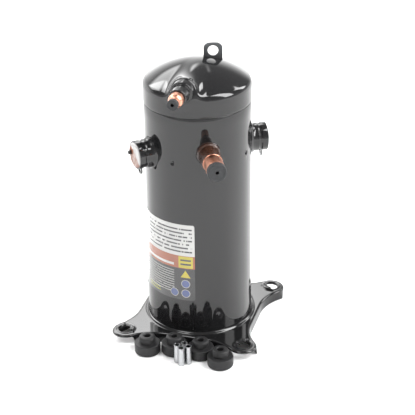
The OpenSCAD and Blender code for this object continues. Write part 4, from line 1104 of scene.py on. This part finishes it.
mesh_piece("shell_tube", centre_shell(), "housing", ENAMEL, ["center_shell"], 40)
mesh_piece("dished_top", top_cap(), "housing", ENAMEL, ["top_cap"], 50)
mesh_piece("pressed_foot_plate", foot_plate(), "housing", PLATE_ENAMEL_WITH_PAINTED_SHADE, ["base_plate"], 40,
           thick=PLATE_SKIN)
mesh_piece("suction_boss", suction_boss(), "housing", TINTED, ["suction_fitting"])
mesh_piece("suction_tube", tube_stub(SUCTION_R, SHELL_R - 6 * MM, SUCTION_END, SUCTION_AZ, SUCTION_Z)
           + braze_ring(SUCTION_R, SUCTION_NECK_END, SUCTION_AZ, SUCTION_Z),
           "housing", COPPER, ["suction_stub"])
mesh_piece("discharge_boss", discharge_boss(), "housing", ENAMEL, ["discharge_fitting"])
mesh_piece("discharge_tube", belled_stub(), "housing", COPPER, ["discharge_stub"])
for port, head_h, tube_r, stem_h, end, azimuth, height in (
        ("suction", 9 * MM, SUCTION_R, 14 * MM, SUCTION_END, SUCTION_AZ, SUCTION_Z),
        ("discharge", 7 * MM, NOSE_R, 12 * MM, DISCHARGE_END, DISCHARGE_AZ, DISCHARGE_Z)):
    stem_r = tube_r - STUB_WALL - 0.05 * MM
    plug = shipping_plug(half_height(f"{port}_plug"), head_h, stem_r, stem_h, end, azimuth, height)
    mesh_piece(f"{port}_cap_plug", plug, f"{port}_plug_body", PLUG, [f"{port}_plug"])
for side_name, azimuth, front, cover_slot, cover_paint, lean, tab_turn in (
        ("power", POWER_AZ, POWER_FRONT, "pale_plastic", COVER, 1.0, math.pi),
        ("sensor", SENSOR_AZ, SENSOR_FRONT, "black_plastic", BLACK_PLASTIC, 0.5, -1.2)):
    mesh_piece(f"{side_name}_fence_ring", fence_barrel(azimuth, front) + ground_lug(azimuth, front),
               "housing", ENAMEL, [f"{side_name}_fence"], 30)
    mesh_piece(f"{side_name}_push_cover", terminal_cover(azimuth, front, lean), f"{side_name}_cover_body",
               cover_paint, [f"{side_name}_cover"], 30)
    mesh_piece(f"{side_name}_cover_tab", pull_tab(azimuth, front, tab_turn), f"{side_name}_cover_body",
               BLACK_PLASTIC)
mesh_piece("eye_bar", lifting_eye(), "housing", DARK_STEEL, ["lifting_eye"], 30)
for k in (1, 2, 3, 4):
    mesh_piece(f"mount_grommet_{k}", grommet(k), f"grommet_body_{k}", MOUNT, [f"grommet_{k}"])
    mesh_piece(f"bolt_sleeve_{k}", bolt_sleeve(k), f"sleeve_body_{k}", ZINC, [f"sleeve_{k}"])
map_label(mesh_piece("data_label", label_sheet(), "housing", LABEL, ["rating_label"]))

FINISHES = {
    RIM_PAINT: ["muffler_plate"],
    PLAIN_STEEL: ["power_terminal", "sensor_terminal", "upper_counterweight", "scroll_bolts",
                  "scroll_sleeves", "suction_baffle", "valve_retainer"],
    ENAMEL: ["bottom_cap"],
    GLASS: ["power_glass", "sensor_glass"],
    BRASS_PIN: ["power_pins", "sensor_pins"],
    RED_PLASTIC: ["power_lead_block"],
    LEAD_COVER: ["power_leads"],
    LAMINATED: ["stator_core", "rotor_core"],
    WIRE: ["stator_winding"],
    BLACK_PLASTIC: ["motor_protector"],
    CAST_ALUMINIUM: ["rotor_cage"],
    GROUND_STEEL: ["crankshaft", "thrust_washer", "drive_bushing", "discharge_valve"],
    DARK_STEEL: ["oil_pickup", "lower_counterweight"],
    GREY_IRON: ["lower_bearing_housing", "main_bearing_housing", "orbiting_scroll", "fixed_scroll"],
    BRONZE: ["lower_bearing", "main_bearing", "drive_bearing"],
    PALE_PLASTIC: ["oldham_coupling"],
    SEAL_RING: ["floating_seal"],
    MAGNET: ["sump_magnet"],
}
for paint, names in FINISHES.items():
    for name in names:
        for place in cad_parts[name].material_slots:
            place.material = paint

# ---- Studio ----------------------------------------------------------------------------


def floor_paper():
    """Matt, nearly white backdrop with a very slow change of tone."""
    f = Finish("studio_floor")
    grain = f.noise(3.0, 2.0)
    return f.surface({
        "Base Color": f.mixed(grain, rgb(0.84, 0.84, 0.84), rgb(0.88, 0.88, 0.88)),
        "Roughness": 0.9 + grain * 0.05,
        "Specular IOR Level": 0.0})


def studio_floor():
    """A flat round floor just under the feet: rings of points from its middle out to 9 m."""
    angle = np.linspace(0, TURN, 96, endpoint=False)[:, None]
    radius = np.array([0.0, 0.5, 2.0, 9.0])[None]
    height = FLOOR_Z - 0.2 * MM
    points, faces = patch(np.stack(np.broadcast_arrays(
        radius * np.cos(angle), radius * np.sin(angle), height), -1), True, False)
    mesh = bpy.data.meshes.new("studio_floor")
    mesh.from_pydata(points.reshape(-1, 3).tolist(), [], faces.tolist())
    mesh.materials.append(floor_paper())
    floor = bpy.data.objects.new("studio_floor", mesh)
    bpy.context.scene.collection.objects.link(floor)


studio_floor()


def studio_light():
    """The room seen from the compressor: a dim ceiling, a pale wall behind on the left, and soft boxes.
    Each box is a mask in its own tangent plane, |x| and |y| eased off at its edges."""
    f = Finish("studio_light", world=True)
    way = f.place("Generated")

    def dot(vector):
        return f.node("ShaderNodeVectorMath", {"operation": "DOT_PRODUCT"}, {0: way, 1: tuple(vector)}, 1)

    def box(azimuth, elevation, half_w, half_h, soft):
        a, e = math.radians(azimuth), math.radians(elevation)
        ahead = outward(a) * math.cos(e) + Vector((0, 0, math.sin(e)))
        right = outward(a + math.pi / 2)
        up = right.cross(ahead)
        if up.z < 0:
            up = -up
        depth = dot(ahead)
        x = abs(dot(right) / depth)
        y = abs(dot(up) / depth)
        w, h = math.tan(math.radians(half_w)), math.tan(math.radians(half_h))
        return f.between(x, w, w + soft, 1.0, 0.0) * f.between(y, h, h + soft, 1.0, 0.0) * (depth > 0.0)

    rise = dot((0, 0, 1))
    wall = f.between(rise, 0.22, 0.60, 1.0, 0.0) * f.between(dot(outward(math.radians(-142))), 0.50, 0.80)
    horizon = f.between(rise, 0.02, 0.30, 1.0, 0.0)
    light = horizon * 0.75 + wall * 1.7 + 0.40
    for azimuth, elevation, half_w, half_h, soft, strength in (
            (-141, 43, 20, 9, 0.14, 6.0),
            (-110, 35, 9, 9, 0.05, 7.0),
            (86, 42, 9, 24, 0.06, 13.0),
            (134, 31, 5, 13, 0.05, 11.0),
            (-30, 58, 8, 8, 0.06, 9.0)):
        light = light + box(azimuth, elevation, half_w, half_h, soft) * strength
    glow = f.node("ShaderNodeBackground", {}, {"Color": rgb(1.0, 1.0, 1.0), "Strength": light})
    f.node("ShaderNodeOutputWorld", {}, {"Surface": glow})
    return f.owner


scene = bpy.context.scene
scene.world = studio_light()
scene.view_settings.view_transform = "Standard"
scene.view_settings.look = "None"

FILL_STRENGTH = 1.0
FILL_SPREAD = math.radians(110)
FILL_TILT = (math.radians(15), math.radians(10), 0)
fill = bpy.data.lights.new("floor_fill", "SUN")
fill.energy = FILL_STRENGTH
fill.angle = FILL_SPREAD
fill_lamp = bpy.data.objects.new("floor_fill", fill)
fill_lamp.visible_glossy = False
fill_lamp.rotation_euler = FILL_TILT
scene.collection.objects.link(fill_lamp)

CAMERA_AT = Vector((0.568454, -1.974828, 1.215417))
CAMERA_AIM = Vector((0.013072, 0.003763, 0.183575))
CAMERA_ROLL = -0.0106
CAMERA_LENS = 126.81
lens = bpy.data.cameras.new("camera")
lens.sensor_width = 36
lens.lens = CAMERA_LENS
lens.clip_end = 60
camera = bpy.data.objects.new("camera", lens)
scene.collection.objects.link(camera)
ahead = (CAMERA_AIM - CAMERA_AT).normalized()
right = ahead.cross(Vector((0, 0, 1))).normalized()
up = right.cross(ahead)
c, s = math.cos(CAMERA_ROLL), math.sin(CAMERA_ROLL)
right, up = right * c + up * s, up * c - right * s
camera.matrix_world = Matrix.Translation(CAMERA_AT) @ Matrix((right, up, -ahead)).transposed().to_4x4()
scene.camera = camera
